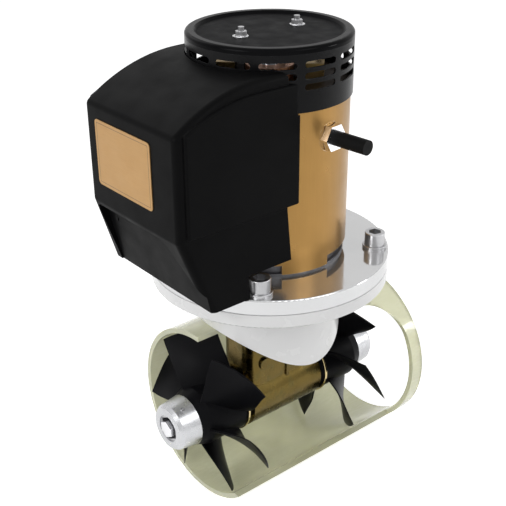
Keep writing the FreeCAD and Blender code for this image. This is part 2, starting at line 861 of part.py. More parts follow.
terminal_radius = s["terminal_stud_diameter"] / 2.0
SLEEVE_END = 6.0
terminal_stub = (s["yoke_wall"] - s["terminal_seat_depth"] + s["terminal_nut_height"]
                 + s["terminal_sleeve_length"] - SLEEVE_END)
keep(stand_out(turned("terminal_stud", [(ZERO, ZERO), (terminal_radius, ZERO),
                                        (terminal_radius, terminal_stub),
                                        (ZERO, terminal_stub)]), yoke_inner))
terminal_nut = make_nut("terminal_nut", s["terminal_nut_flats"], s["terminal_nut_height"],
                        s["terminal_stud_diameter"])
nut_start = s["motor_radius"] - s["terminal_seat_depth"]
keep(stand_out(terminal_nut, nut_start))
keep(stand_out(turned("terminal_sleeve", [
    (terminal_radius, ZERO), (s["terminal_sleeve_diameter"] / 2.0, ZERO),
    (s["terminal_sleeve_diameter"] / 2.0, s["terminal_sleeve_length"]),
    (ZERO, s["terminal_sleeve_length"]), (ZERO, s["terminal_sleeve_length"] - SLEEVE_END),
    (terminal_radius, s["terminal_sleeve_length"] - SLEEVE_END)]),
    nut_start + s["terminal_nut_height"]))

# ---------------------------------------------------------------- moulded cover

def cover_side(name, inset, step, toe_step, half_width):
    """The cover seen from the side, as a slab: open below, domed towards the front."""
    body = new_body(name)
    sketch = new_sketch(body, name + "_outline", "YZ_Plane")
    front = -s["cover_front"] + inset
    toe = -s["cover_toe"] + inset + toe_step
    rear = -s["cover_rear"] + inset * 2.0
    low = bracket_top + s["cover_side_gap_height"] - inset * 2.0
    bottom = s["cover_bottom"] - inset
    corners = [(rear, low), (rear, s["cover_top"] - inset),
               (-s["cover_crown_start"], s["cover_top"] - inset),
               (front, s["cover_brow"] - inset), (front, s["cover_waist"])]
    if step.value > 0.0:
        corners.append((front + step, s["cover_waist"]))
    corners += [(toe, bottom), (-s["cover_side_gap_start"] + inset * 2.0, bottom),
                (-s["cover_side_gap_start"] + inset * 2.0, low)]
    draw_outline(sketch, corners, arcs=(2,))
    pad(body, sketch, half_width * 2.0, both_ways=True)
    return body


def cover_front(name, inset):
    """The cover seen from the front, as a slab: upright sides that flare out at the foot."""
    body = new_body(name)
    sketch = new_sketch(body, name + "_outline", "XZ_Plane")
    half = s["cover_half_width"] - inset
    foot = half + s["cover_flare"]
    low = s["cover_bottom"] - inset
    high = s["cover_top"] + OVERCUT
    draw_outline(sketch, [(-foot, low), (foot, low), (half, s["cover_waist"]), (half, high),
                          (-half, high), (-half, s["cover_waist"])])
    pad(body, sketch, 2.0 * s["cover_front"] + OVERCUT, both_ways=True)
    return body


def boolean(kind, name, first, *others):
    if kind == "Part::Cut":
        item = document.addObject(kind, name)
        item.Base = first
        item.Tool = others[0]
    else:
        item = document.addObject(kind, name)
        item.Shapes = [first] + list(others)
    item.Label = name
    return item


def rounded_copy(name, item, radius, wanted):
    document.recompute()
    feature = document.addObject("Part::Fillet", name)
    feature.Base = item
    edges = [i + 1 for i, edge in enumerate(item.Shape.Edges) if wanted(edge)]
    feature.Edges = [(i, radius.value, radius.value) for i in edges]
    feature.Label = name
    return feature


def along_side(half):
    """A test for the edges where a cover's side meets its front and top."""
    waist = s["cover_waist"].value
    low = s["cover_bottom"].value
    flare = s["cover_flare"].value

    def wanted(edge):
        ends = [vertex.Point for vertex in edge.Vertexes]
        for point in ends:
            width = half
            if point.z < waist:
                width += flare * (waist - point.z) / (waist - low)
            if abs(abs(point.x) - width) > 0.2 or point.y > -s["cover_rear"].value + 0.1:
                return False
        middle = edge.valueAt((edge.FirstParameter + edge.LastParameter) / 2.0)
        on_front = middle.y < -s["cover_toe"].value - 1.0
        return on_front or middle.z > s["cover_brow"].value
    return wanted


def cover_panel(name, inset):
    """Raised flat panel on each side of the cover."""
    body = new_body(name)
    sketch = new_sketch(body, name + "_outline", "YZ_Plane")
    rear = -s["panel_rear"] + inset
    front = -s["panel_front"] + inset
    draw_outline(sketch, [(rear, s["panel_bottom"] + inset), (rear, s["panel_top"] - inset),
                          (-s["panel_crown_start"], s["panel_top"] - inset),
                          (front, s["panel_brow"] - inset), (front, s["panel_bottom"] + inset)],
                 arcs=(2,))
    half = s["cover_half_width"] + s["panel_proud"] - inset
    pad(body, sketch, half * 2.0, both_ways=True)
    if inset.value == 0.0:
        round_edges(body, s["panel_proud"] * 0.8,
                    lambda edge: all(abs(abs(vertex.Point.x) - half.value) < 1e-3
                                     for vertex in edge.Vertexes))
    return body


def cylinder(name, radius, bottom, top):
    item = document.addObject("Part::Cylinder", name)
    bind(item, "Radius", radius)
    bind(item, "Height", top - bottom)
    bind(item, "Placement.Base.z", bottom)
    return item


def recess_tool():
    """Recess under the label: its lip bends down and runs out at the cover's +X side."""
    shape = new_body("recess_shape")
    sketch = new_sketch(shape, "recess_shape_outline", "XZ_Plane")
    left = -s["recess_left"]
    top = s["recess_top"]
    low = s["cover_bottom"] - OVERCUT
    bend = (s["recess_bend_start"] + s["recess_bend_width"], top - s["recess_bend_drop"])
    out = (bend[0] + s["recess_slope_width"], bend[1] - s["recess_slope_drop"])
    draw_outline(sketch, [(left, low), (left, top - s["recess_corner"]),
                          (left + s["recess_corner"], top), (s["recess_bend_start"], top), bend,
                          out, (out[0], low)], arcs=(1, 3))
    pad(shape, sketch, 2.0 * s["cover_front"] + 4.0 * OVERCUT, both_ways=True)
    wedge = new_body("recess_wedge")
    slope = new_sketch(wedge, "recess_wedge_outline", "YZ_Plane")
    outside = -s["cover_front"] - OVERCUT
    toe = -s["cover_toe"] + s["recess_toe_depth"]
    draw_outline(slope, [(toe, low), (toe, low + OVERCUT),
                         (-s["cover_front"] + s["recess_depth"], s["cover_waist"]),
                         (outside, s["cover_waist"]), (outside, low)])
    pad(wedge, slope, wide * 2.0 + OVERCUT, both_ways=True)
    return boolean("Part::MultiCommon", "recess_tool", shape, wedge)


wide = s["cover_half_width"] + s["cover_flare"] + OVERCUT
cover_blank = boolean("Part::MultiCommon", "cover_blank",
                      cover_side("cover_side", ZERO, ZERO, ZERO, wide),
                      cover_front("cover_face", ZERO))
cover_outer = rounded_copy("cover_outer", cover_blank, s["cover_corner_radius"],
                           along_side(s["cover_half_width"].value))
cover_core = boolean("Part::MultiCommon", "cover_core",
                     cover_side("core_side", s["cover_wall"], s["recess_depth"],
                                s["recess_toe_depth"], wide),
                     cover_front("core_face", s["cover_wall"]))
cover_solid = boolean("Part::MultiFuse", "cover_solid", cover_outer,
                      cover_panel("side_panel", ZERO))
clear_motor = cylinder("motor_room", s["motor_radius"] + s["motor_clearance"],
                       s["cover_bottom"] - OVERCUT, s["cover_top"] + OVERCUT)
clear_band = cylinder("band_room", s["band_radius"] + s["motor_clearance"],
                      band_bottom - OVERCUT, s["cover_top"] + OVERCUT)
hollow = boolean("Part::MultiFuse", "cover_hollow", cover_core,
                 cover_panel("panel_core", s["cover_wall"]), clear_motor, clear_band,
                 recess_tool())
keep(boolean("Part::Cut", "cover", cover_solid, hollow))


def make_label():
    """Bare plate on the front of the cover."""
    body = new_body("label_plate")
    sketch = new_sketch(body, "label_outline", "XZ_Plane", s["cover_front"])
    left = -s["label_offset"] - s["label_width"] / 2.0
    low = s["label_centre_height"] - s["label_height"] / 2.0
    corners, arcs = rounded_box((left, low), (left + s["label_width"],
                                              low + s["label_height"]), size(4.0))
    draw_outline(sketch, corners, arcs)
    pad(body, sketch, s["label_thickness"])
    return body


keep(make_label())

# ---------------------------------------------------------------- relays under the cover

relay_centre = s["motor_radius"] + s["relay_plate_thickness"] + s["relay_radius"] + 6.0
plate_face = -(relay_centre - s["relay_radius"])


def make_relay_bracket():
    body = new_body("relay_bracket")
    sketch = new_sketch(body, "relay_bracket_side", "YZ_Plane")
    thick = s["relay_plate_thickness"]
    foot = plate_face - s["relay_radius"] * 1.2
    top = bracket_top + s["relay_plate_height"]
    draw_outline(sketch, [(plate_face, bracket_top + thick), (plate_face, top),
                          (plate_face + thick, top), (plate_face + thick, bracket_top),
                          (foot, bracket_top), (foot, bracket_top + thick)])
    pad(body, sketch, s["relay_spacing"] + s["relay_radius"] * 1.6, both_ways=True)
    return body


keep(make_relay_bracket())
relay_bottom = bracket_top + s["relay_base_height"]
relay_end = s["relay_length"] + s["relay_cap_height"]
relay = turned("relay", [(ZERO, ZERO), (s["relay_radius"], ZERO),
                         (s["relay_radius"], s["relay_length"]),
                         (s["relay_radius"] - 4.0, relay_end), (ZERO, relay_end)])
relay_places = [(s["relay_spacing"] / 2.0 * side, -relay_centre, relay_bottom, 0.0)
                for side in (-1.0, 1.0)]
keep(group("relays", relay, relay_places))
relay_stud = turned("relay_stud", [
    (ZERO, ZERO), (s["relay_stud_radius"], ZERO),
    (s["relay_stud_radius"], s["relay_stud_length"]), (ZERO, s["relay_stud_length"])])
relay_stud_places = [(x + s["relay_stud_offset"] * side, y, relay_bottom + relay_end, 0.0)
                     for x, y, z, turn in relay_places for side in (-1.0, 1.0)]
keep(group("relay_studs", relay_stud, relay_stud_places))

# ---------------------------------------------------------------- gear leg, fixed pieces

bearing_start = s["gear_cavity_reach"]
bearing_stop = bearing_start + s["prop_bearing_width"]


def make_gear_leg():
    """Bronze casting: cross tube for the gears, flat strut, and a plate under the flange."""
    reach = s["gear_tube_reach"]
    bevel = s["gear_tube_bevel"]
    outer = s["gear_tube_radius"]
    body = turned_across("gear_leg", [
        (-reach, ZERO), (reach, ZERO), (reach, outer - bevel), (reach - bevel, outer),
        (bevel - reach, outer), (-reach, outer - bevel)])
    strut = new_sketch(body, "strut_plan", "XY_Plane")
    corners, arcs = rounded_box((-s["leg_half_width"], -s["leg_half_length"]),
                                (s["leg_half_width"], s["leg_half_length"]),
                                s["leg_half_width"] * 0.6)
    draw_outline(strut, corners, arcs)
    pad(body, strut, s["flange_underside"] - s["leg_plate_thickness"] / 2.0)
    plate = new_sketch(body, "plate_plan", "XY_Plane",
                       s["flange_underside"] - s["leg_plate_thickness"])
    draw_circle(plate, (ZERO, ZERO), s["leg_plate_radius"])
    pad(body, plate, s["leg_plate_thickness"])
    spigot = new_sketch(body, "spigot_plan", "XY_Plane", s["flange_underside"])
    draw_circle(spigot, (ZERO, ZERO), s["flange_bore"])
    pad(body, spigot, s["flange_thickness"])
    inside = new_sketch(body, "leg_inside", "YZ_Plane")
    cavity = s["gear_cavity_radius"]
    draw_outline(inside, [
        (-reach - OVERCUT, ZERO), (reach + OVERCUT, ZERO), (reach + OVERCUT, cavity),
        (-bearing_start, cavity), (-bearing_start, s["prop_bearing_radius"]),
        (-bearing_stop, s["prop_bearing_radius"]), (-bearing_stop, s["seal_radius"]),
        (-reach - OVERCUT, s["seal_radius"])])
    groove = body.newObject("PartDesign::Groove", "leg_cavity")
    groove.Profile = inside
    groove.ReferenceAxis = (inside, ["H_Axis"])
    groove.Angle = FULL_TURN
    check_cut(body, groove)
    shaft_way = new_sketch(body, "shaft_way", "XY_Plane", flange_top)
    draw_circle(shaft_way, (ZERO, ZERO), s["pinion_bearing_radius"])
    check_cut(body, pocket(body, shaft_way, flange_top - s["pinion_bearing_height"]))
    coupling_way = new_sketch(body, "coupling_way", "XY_Plane", flange_top)
    draw_circle(coupling_way, (ZERO, ZERO), s["coupling_radius"] + s["coupling_clearance"])
    check_cut(body, pocket(body, coupling_way,
                           flange_top - coupling_low + s["coupling_clearance"]))
    pinion_way = new_sketch(body, "pinion_way", "XY_Plane", s["pinion_bearing_height"])
    draw_circle(pinion_way, (ZERO, ZERO), s["pinion_bearing_radius"] - s["pinion_shoulder"])
    check_cut(body, pocket(body, pinion_way, s["pinion_bearing_height"]))
    bolt_holes(body, s["flange_underside"], s["leg_plate_thickness"], s["leg_screw_circle"],
               s["leg_screw_count"], s["leg_screw_diameter"], LEG_SCREW_START)
    return body


keep(make_gear_leg())

leg_head = s["leg_screw_diameter"]
leg_screw = turned("leg_screw", [
    (ZERO, -s["flange_thickness"] - s["leg_plate_thickness"]),
    (s["leg_screw_diameter"] / 2.0, -s["flange_thickness"] - s["leg_plate_thickness"]),
    (s["leg_screw_diameter"] / 2.0, ZERO), (s["leg_screw_diameter"] * 0.85, ZERO),
    (s["leg_screw_diameter"] * 0.85, leg_head), (ZERO, leg_head)])
keep(group("leg_screws", leg_screw, circle_places(s["leg_screw_circle"], s["leg_screw_count"],
                                                  LEG_SCREW_START, flange_top)))

plug_face = s["leg_half_width"]
plug = new_body("oil_plug")
plug_sketch = new_sketch(plug, "plug_plan", "YZ_Plane", plug_face)
draw_circle(plug_sketch, (-s["plug_distance"], s["plug_height"]), s["plug_radius"])
pad(plug, plug_sketch, s["plug_thickness"])
keep(plug)

keep(turned_across("bearing_carrier", [
    (bearing_start, s["prop_bearing_radius"]), (bearing_stop, s["prop_bearing_radius"]),
    (bearing_stop, s["seal_radius"]), (s["gear_tube_reach"], s["seal_radius"]),
    (s["gear_tube_reach"], s["gear_cavity_radius"]), (bearing_start, s["gear_cavity_radius"])]))


def bearing_rings(name, inner, outer, start, stop, across):
    """Outer and inner ring of one sealed ball bearing, a running gap apart."""
    middle = (inner + outer) / 2.0
    gap = s["running_clearance"]
    make = ring_across if across else ring
    return (make(name + "_outer", middle + gap, outer, start, stop),
            make(name + "_inner", inner, middle, start, stop))


for side_name, sign in SIDES.items():
    start, stop = sorted((bearing_start * sign, bearing_stop * sign), key=lambda x: x.value)
    keep(*bearing_rings("prop_bearing_" + side_name, s["prop_shaft_radius"],
                        s["prop_bearing_radius"], start, stop, True))
    start, stop = sorted((bearing_stop * sign, s["gear_tube_reach"] * sign),
                         key=lambda x: x.value)
    keep(ring_across("prop_seal_" + side_name, s["prop_shaft_radius"] + s["running_clearance"],
                     s["seal_radius"], start, stop))
pinion_bearing_top = s["pinion_bearing_height"] + s["pinion_bearing_width"]
keep(*bearing_rings("pinion_bearing", s["pinion_shaft_radius"], s["pinion_bearing_radius"],
                    s["pinion_bearing_height"], pinion_bearing_top, False))
keep(*bearing_rings("motor_lower_bearing", s["motor_shaft_radius"], motor_bearing_radius,
                    foot_bottom + FOOT_LIP, yoke_bottom, False))
keep(*bearing_rings("motor_upper_bearing", upper_shaft_radius, upper_bearing_radius,
                    boss_bottom, top_frame_bottom - 0.5, False))

# ---------------------------------------------------------------- armature and drive shaft

jaw_top = coupling_split + s["coupling_jaw_height"]
coupling_high = jaw_top + 0.8
upper_hub_top = foot_bottom - 0.9
motor_shaft_bottom = coupling_high
shaft_step = core_bottom - s["winding_height"] - 6.0
body_radius = s["motor_shaft_radius"] + 2.5
keep(turned("armature_shaft", [
    (ZERO, motor_shaft_bottom), (s["motor_shaft_radius"], motor_shaft_bottom),
    (s["motor_shaft_radius"], shaft_step), (body_radius, shaft_step),
    (body_radius, core_top + 8.0), (s["motor_shaft_radius"], core_top + 8.0),
    (s["motor_shaft_radius"], commutator_top), (upper_shaft_radius, commutator_top),
    (upper_shaft_radius, top_frame_bottom - 1.0), (ZERO, top_frame_bottom - 1.0)]))


def make_armature_core():
    body = ring("armature_core", body_radius, core_radius, core_bottom, core_top)
    sketch = new_sketch(body, "core_slot", "XY_Plane", core_bottom)
    half = s["core_slot_width"] / 2.0
    deep = core_radius - s["core_slot_depth"]
    draw_outline(sketch, [(deep, -half), (core_radius + OVERCUT, -half),
                          (core_radius + OVERCUT, half), (deep, half)])
    cut = pocket(body, sketch, s["core_length"], forward=True)
    check_cut(body, cut)
    repeat(body, cut, s["core_slot_count"])
    return body


keep(make_armature_core())
winding_outer = core_radius - 4.0
winding_inner = body_radius + 4.0
turn_in = s["winding_height"] * 0.35
winding = turned("winding", [
    (winding_inner, ZERO), (winding_outer, ZERO), (winding_outer, s["winding_height"] - turn_in),
    (winding_outer - turn_in, s["winding_height"]), (winding_inner + turn_in,
                                                     s["winding_height"]),
    (winding_inner, s["winding_height"] - turn_in)])
winding_places = [(ZERO, ZERO, core_top, 0.0), (ZERO, ZERO, core_bottom - s["winding_height"],
                                                0.0)]
keep(group("armature_windings", winding, winding_places))
keep(ring("commutator", s["motor_shaft_radius"], s["commutator_radius"], commutator_bottom,
          commutator_top))


def make_coupling_half(name, bore, bottom, top, jaw_start, jaw_length, jaw_angle, start_angle):
    """Round hub with three jaws that stand along the motor's axis."""
    body = ring(name, bore, s["coupling_radius"], bottom, top)
    sketch = new_sketch(body, name + "_jaw", "XY_Plane", jaw_start)
    inner = s["coupling_radius"] * 0.45
    corners = []
    for radius, side in ((inner, -1.0), (s["coupling_radius"], -1.0),
                         (s["coupling_radius"], 1.0), (inner, 1.0)):
        angle = size(start_angle) + jaw_angle * side
        corners.append((radius * size_cos(angle), radius * size_sin(angle)))
    draw_outline(sketch, corners)
    jaw = pad(body, sketch, jaw_length)
    repeat(body, jaw, JAW_COUNT)
    return body


JAW_HALF_ANGLE = size(20.0)
JAW_COUNT = size(3.0)
keep(make_coupling_half("coupling_lower", s["pinion_shaft_radius"], coupling_low,
                        coupling_split, coupling_split, s["coupling_jaw_height"],
                        JAW_HALF_ANGLE, 0.0))
keep(make_coupling_half("coupling_upper", s["motor_shaft_radius"], coupling_high,
                        upper_hub_top, coupling_split + 0.8, s["coupling_jaw_height"],
                        JAW_HALF_ANGLE, 60.0))


ARM_ANGLE = size(30.0)       # middle of the first gap between two jaws
ARM_FILL = 0.95              # share of the gap that the rubber fills


def make_coupling_spider():
    """Rubber star whose six arms fill the gaps between the jaws."""
    body = new_body("coupling_spider")
    sketch = new_sketch(body, "spider_arm", "XY_Plane", coupling_split)
    inner = size(1.0)
    corners = []
    spread = (ARM_ANGLE - JAW_HALF_ANGLE) * ARM_FILL
    for radius, side in ((inner, -1.0), (s["coupling_radius"] - 1.0, -1.0),
                         (s["coupling_radius"] - 1.0, 1.0), (inner, 1.0)):
        angle = ARM_ANGLE + spread * side
        corners.append((radius * size_cos(angle), radius * size_sin(angle)))
    draw_outline(sketch, corners)
    arm = pad(body, sketch, s["coupling_jaw_height"])
    repeat(body, arm, JAW_COUNT * 2.0)
    return body


keep(make_coupling_spider())

# ---------------------------------------------------------------- bevel gears

def involute(angle):
    return math.tan(angle) - angle


class Bevel:
    """Cone sizes of a straight bevel gear whose apex is at the origin and axis is Z."""

    def __init__(self, teeth, mate):
        self.teeth = int(teeth.value)
        self.module = s["gear_module"].value
        self.cone = math.atan(teeth.value / mate.value)
        self.pitch_radius = self.module * self.teeth / 2.0
        self.reach = self.pitch_radius / math.sin(self.cone)
        self.virtual = self.pitch_radius / math.cos(self.cone)
        self.inner_scale = (self.reach - s["gear_face"].value) / self.reach

    def point(self, height, angle=0.0):
        """Point on the back cone, height above the pitch circle, angle round the unrolled cone."""
        far = self.virtual + height
        radius = far * math.cos(self.cone)
        turn = angle / math.cos(self.cone)
        z = self.reach / math.cos(self.cone) - far * math.sin(self.cone)
        return Vector(radius * math.cos(turn), radius * math.sin(turn), z)

    def half_angle(self, height):
        """Half the tooth's angle, on the unrolled back cone, at a height above the pitch."""
        pressure = math.radians(20.0)
        base = self.virtual * math.cos(pressure)
        far = max(self.virtual + height, base)
        thickness = math.pi * self.module / 2.0 - s["gear_backlash"].value
        roll = involute(pressure) - involute(math.acos(base / far))
        return thickness / (2.0 * self.virtual) + roll


ROOT_DEPTH = 1.25        # of the module
TIP_HEIGHT = 0.95
FLANK_HEIGHTS = (-1.6, -0.75, -0.25, 0.35, 1.3)


def tooth_section(gear, scale):
    """Flat section of one tooth, square to the pitch cone."""
    normal = Vector(math.sin(gear.cone), 0, math.cos(gear.cone))
    plane = gear.reach * scale
    corners = []
    for side in (-1.0, 1.0):
        flank = []
        for height in FLANK_HEIGHTS:
            height *= gear.module
            ray = gear.point(height, side * gear.half_angle(height))
            flank.append(ray * (plane / ray.dot(normal)))
        corners += flank if side < 0 else flank[::-1]
    return Part.makePolygon(corners + corners[:1])


def bevel_blank(gear, bore, hub_radius, top, tip):
    """Profile turned about Z: root cone, or tip cone when tip is true, and the hub behind."""
    height = (TIP_HEIGHT if tip else -ROOT_DEPTH) * gear.module
    outer = gear.point(height)
    inner = outer * gear.inner_scale
    foot = gear.point(-ROOT_DEPTH * gear.module)
    shoulder = Vector(foot.x - (1.0 if tip else 0.0), 0, foot.z + 1.2)
    corners = [Vector(bore, 0, inner.z), inner, outer, foot if tip else shoulder, shoulder,
               Vector(hub_radius, 0, max(foot.z + 2.4, shoulder.z + 1.0)),
               Vector(hub_radius, 0, top), Vector(bore, 0, top)]
    clean = [corners[0]]
    for corner in corners[1:]:
        if (corner - clean[-1]).Length > 1e-6:
            clean.append(corner)
    face = Part.Face(Part.makePolygon(clean + clean[:1]))
    return face.revolve(Vector(0, 0, 0), Vector(0, 0, 1), FULL_TURN)


def bevel_gear(gear, bore, hub_radius, top, start_angle):
    """Straight-toothed bevel gear; a tooth stands at start_angle from X."""
    body = bevel_blank(gear, bore, hub_radius, top, False)
    sections = [tooth_section(gear, scale) for scale in (gear.inner_scale * 0.9, 1.12)]
    tooth = Part.makeLoft(sections, True, True)
    envelope = bevel_blank(gear, bore, hub_radius, top, True)
    teeth = []
    for i in range(gear.teeth):
        turn = start_angle + FULL_TURN * i / gear.teeth
        teeth.append(tooth.rotated(Vector(0, 0, 0), Vector(0, 0, 1), turn).common(envelope))
    return body.multiFuse(teeth).removeSplitter()


HUB_GAP = 0.5            # between the crown wheel's hub and the bearing behind it
crown = Bevel(s["crown_teeth"], s["pinion_teeth"])
pinion = Bevel(s["pinion_teeth"], s["crown_teeth"])

# The crown wheel's axis lies along +Y; one of its teeth points up, into the gap between
# two of the pinion's teeth on the pinion's +Y side.
crown_shape = bevel_gear(crown, s["prop_shaft_radius"].value, s["crown_hub_radius"].value,
                         s["gear_cavity_reach"].value - HUB_GAP, 0.0)
crown_shape = crown_shape.rotated(Vector(0, 0, 0), Vector(0, 0, 1), -90.0)
crown_shape = crown_shape.rotated(Vector(0, 0, 0), Vector(1, 0, 0), -90.0)
keep(made("crown_gear", crown_shape))
pinion_seat = s["pinion_shaft_radius"] - s["pinion_shoulder"]
pinion_shape = bevel_gear(pinion, pinion_seat.value, s["pinion_hub_radius"].value,
                          s["pinion_bearing_height"].value,
                          90.0 + FULL_TURN / (2.0 * pinion.teeth))
keep(made("pinion_gear", pinion_shape))
pinion_end = size(pinion.point(-ROOT_DEPTH * pinion.module).z * pinion.inner_scale)
keep(turned("pinion_shaft", [
    (ZERO, pinion_end), (pinion_seat, pinion_end), (pinion_seat, s["pinion_bearing_height"]),
    (s["pinion_shaft_radius"], s["pinion_bearing_height"]),
    (s["pinion_shaft_radius"], coupling_split), (ZERO, coupling_split)]))

# ---------------------------------------------------------------- propeller shaft and propellers

pin_distance = hub_start + s["drive_pin_radius"] * 3.0
pin_half_length = (s["prop_shaft_radius"] + s["hub_nose_radius"]) / 2.0


def pin_shapes():
    shapes = []
    for sign in SIDES.values():
        start = Vector(-pin_half_length.value, pin_distance.value * sign, 0)
        shapes.append(Part.makeCylinder(s["drive_pin_radius"].value,
                                        2.0 * pin_half_length.value, start, Vector(1, 0, 0)))
    return shapes


thread_radius = s["prop_shaft_radius"] * 0.7
shaft_end = hub_end + s["shaft_end_length"]
prop_shaft_body = turned_across("prop_shaft_blank", [
    (-shaft_end, ZERO), (shaft_end, ZERO), (shaft_end, thread_radius), (hub_end, thread_radius),
    (hub_end, s["prop_shaft_radius"]), (-hub_end, s["prop_shaft_radius"]),
    (-hub_end, thread_radius), (-shaft_end, thread_radius)])
document.recompute()
keep(made("prop_shaft", prop_shaft_body.Shape.cut(Part.makeCompound(pin_shapes()))))
keep(made("drive_pins", Part.makeCompound(pin_shapes())))


def blade_section(radius):
    """Section of the blade that points along +X, at one distance from the shaft."""
    root = s["hub_radius"].value
    along = (radius - root) / (s["prop_radius"].value - root)
    chord = s["blade_root_chord"].value
    chord += (s["blade_tip_chord"].value - chord) * along
    thick = s["blade_root_thickness"].value
    thick += (s["blade_tip_thickness"].value - thick) * along
    camber = chord * 0.03
    sweep = math.radians(s["blade_skew"].value * (1.0 - along) ** 2)
    pitch = math.atan(s["prop_pitch"].value / (2.0 * math.pi * radius))
    ahead = Vector(0, -math.sin(pitch), math.cos(pitch))
    out = Vector(0, math.cos(pitch), math.sin(pitch))
    centre = Vector(radius, 0, radius * sweep)
    edge = thick * 0.15

    def spot(forward, up):
        return centre + ahead * (forward * chord / 2.0) + out * up

    front_low, front_high = spot(1.0, -edge), spot(1.0, edge)
    back_low, back_high = spot(-1.0, -edge), spot(-1.0, edge)
    upper = Part.Arc(front_high, spot(0.0, thick / 2.0 + camber), back_high).toShape()
    lower = Part.Arc(back_low, spot(0.0, camber - thick / 2.0), front_low).toShape()
    tail = Part.makeLine(back_high, back_low)
    nose = Part.makeLine(front_low, front_high)
    return Part.Wire([upper, tail, lower, nose])


def make_blade():
    root = s["hub_radius"].value
    tip = s["prop_radius"].value
    distances = (root * 0.8, root + (tip - root) * 0.35, root + (tip - root) * 0.7, tip + 3.0)
    blade = Part.makeLoft([blade_section(distance) for distance in distances], True)
    reach = s["hub_length"].value
    trim = Part.makeCylinder(tip, 2.0 * reach, Vector(0, -reach, 0), Vector(0, 1, 0))
    return blade.common(trim)


def make_propeller(side_name, sign):
    """Hub with skewed blades; the far propeller is the near one turned about the motor's
    axis, so both have the same hand, as they share a shaft."""
    bore = s["prop_shaft_radius"].value
    start, stop = hub_start.value, hub_end.value
    wide, narrow = s["hub_radius"].value, s["hub_nose_radius"].value
    soft = 4.0
    profile = Part.makePolygon([
        Vector(0, start, bore), Vector(0, start, wide - soft), Vector(0, start + soft, wide),
        Vector(0, stop - soft * 3.0, wide), Vector(0, stop, narrow), Vector(0, stop, bore),
        Vector(0, start, bore)])
    hub = Part.Face(profile).revolve(Vector(0, 0, 0), Vector(0, 1, 0), FULL_TURN)
    if sign < 0:
        hub = hub.mirror(Vector(0, 0, 0), Vector(0, 1, 0))
    blade = make_blade()
    blade.translate(Vector(0, -(start + stop) / 2.0, 0))
    if sign > 0:
        blade = blade.rotated(Vector(0, 0, 0), Vector(0, 0, 1), FULL_TURN / 2.0)
    shapes = []
    for i in range(int(s["blade_count"].value)):
        turn = s["prop_phase_" + side_name].value + FULL_TURN * i / s["blade_count"].value
        shapes.append(blade.rotated(Vector(0, 0, 0), Vector(0, 1, 0), -turn))
    core = Part.makeCylinder(bore, 2.0 * stop, Vector(0, -stop, 0), Vector(0, 1, 0))
    shape = hub.multiFuse(shapes).cut(Part.makeCompound([core] + pin_shapes()))
    return made("propeller_" + side_name, shape)


def across_mirror(corners, sign):
    return [(along * sign, radius) for along, radius in corners]


def make_nose(side_name, sign):
    """Nose cone with a round well, and the socketed nut that sits in it."""
    well = s["nose_nut_radius"]
    soft = size(4.0)
    cone = turned_across("nose_cone_" + side_name, across_mirror([
        (hub_end, well), (hub_end, s["hub_nose_radius"]),
        (nose_end - soft, s["nose_tip_radius"] + soft * 0.7),
        (nose_end, s["nose_tip_radius"]), (nose_end, well)], sign))
    nut_end = nose_end - 1.5
    socket_floor = nut_end - s["nose_socket_depth"]
    nut_body = turned_across("prop_nut_" + side_name, across_mirror([
        (hub_end, thread_radius), (hub_end, well), (nut_end, well), (nut_end, ZERO),
        (shaft_end, ZERO), (shaft_end, thread_radius)], sign))
    sketch = new_sketch(nut_body, "nut_socket_" + side_name, "XZ_Plane", -nut_end * sign)
    draw_outline(sketch, hexagon((ZERO, ZERO), s["nose_socket_flats"]))
    cut = pocket(nut_body, sketch, nut_end - socket_floor, forward=sign > 0)
    check_cut(nut_body, cut)
    return cone, nut_body


for side_name, sign in SIDES.items():
    keep(make_propeller(side_name, sign))
    keep(*make_nose(side_name, sign))

# ---------------------------------------------------------------- check and write

document.recompute()
for item in document.Objects:
    if "Invalid" in item.State or "Error" in item.State:
        raise ValueError("%s did not build: %s" % (item.Label, item.State))
os.makedirs("parts", exist_ok=True)
for node in nodes:
    shape = node.Shape
    if shape.isNull() or not shape.isValid() or shape.Volume <= 0.0:
        raise ValueError("bad shape: " + node.Label)
    shape.exportStep("parts/%s.step" % node.Label)
print("wrote", len(nodes), "sub-parts")
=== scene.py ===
import math

import bmesh
import bpy
from mathutils import Matrix, Vector


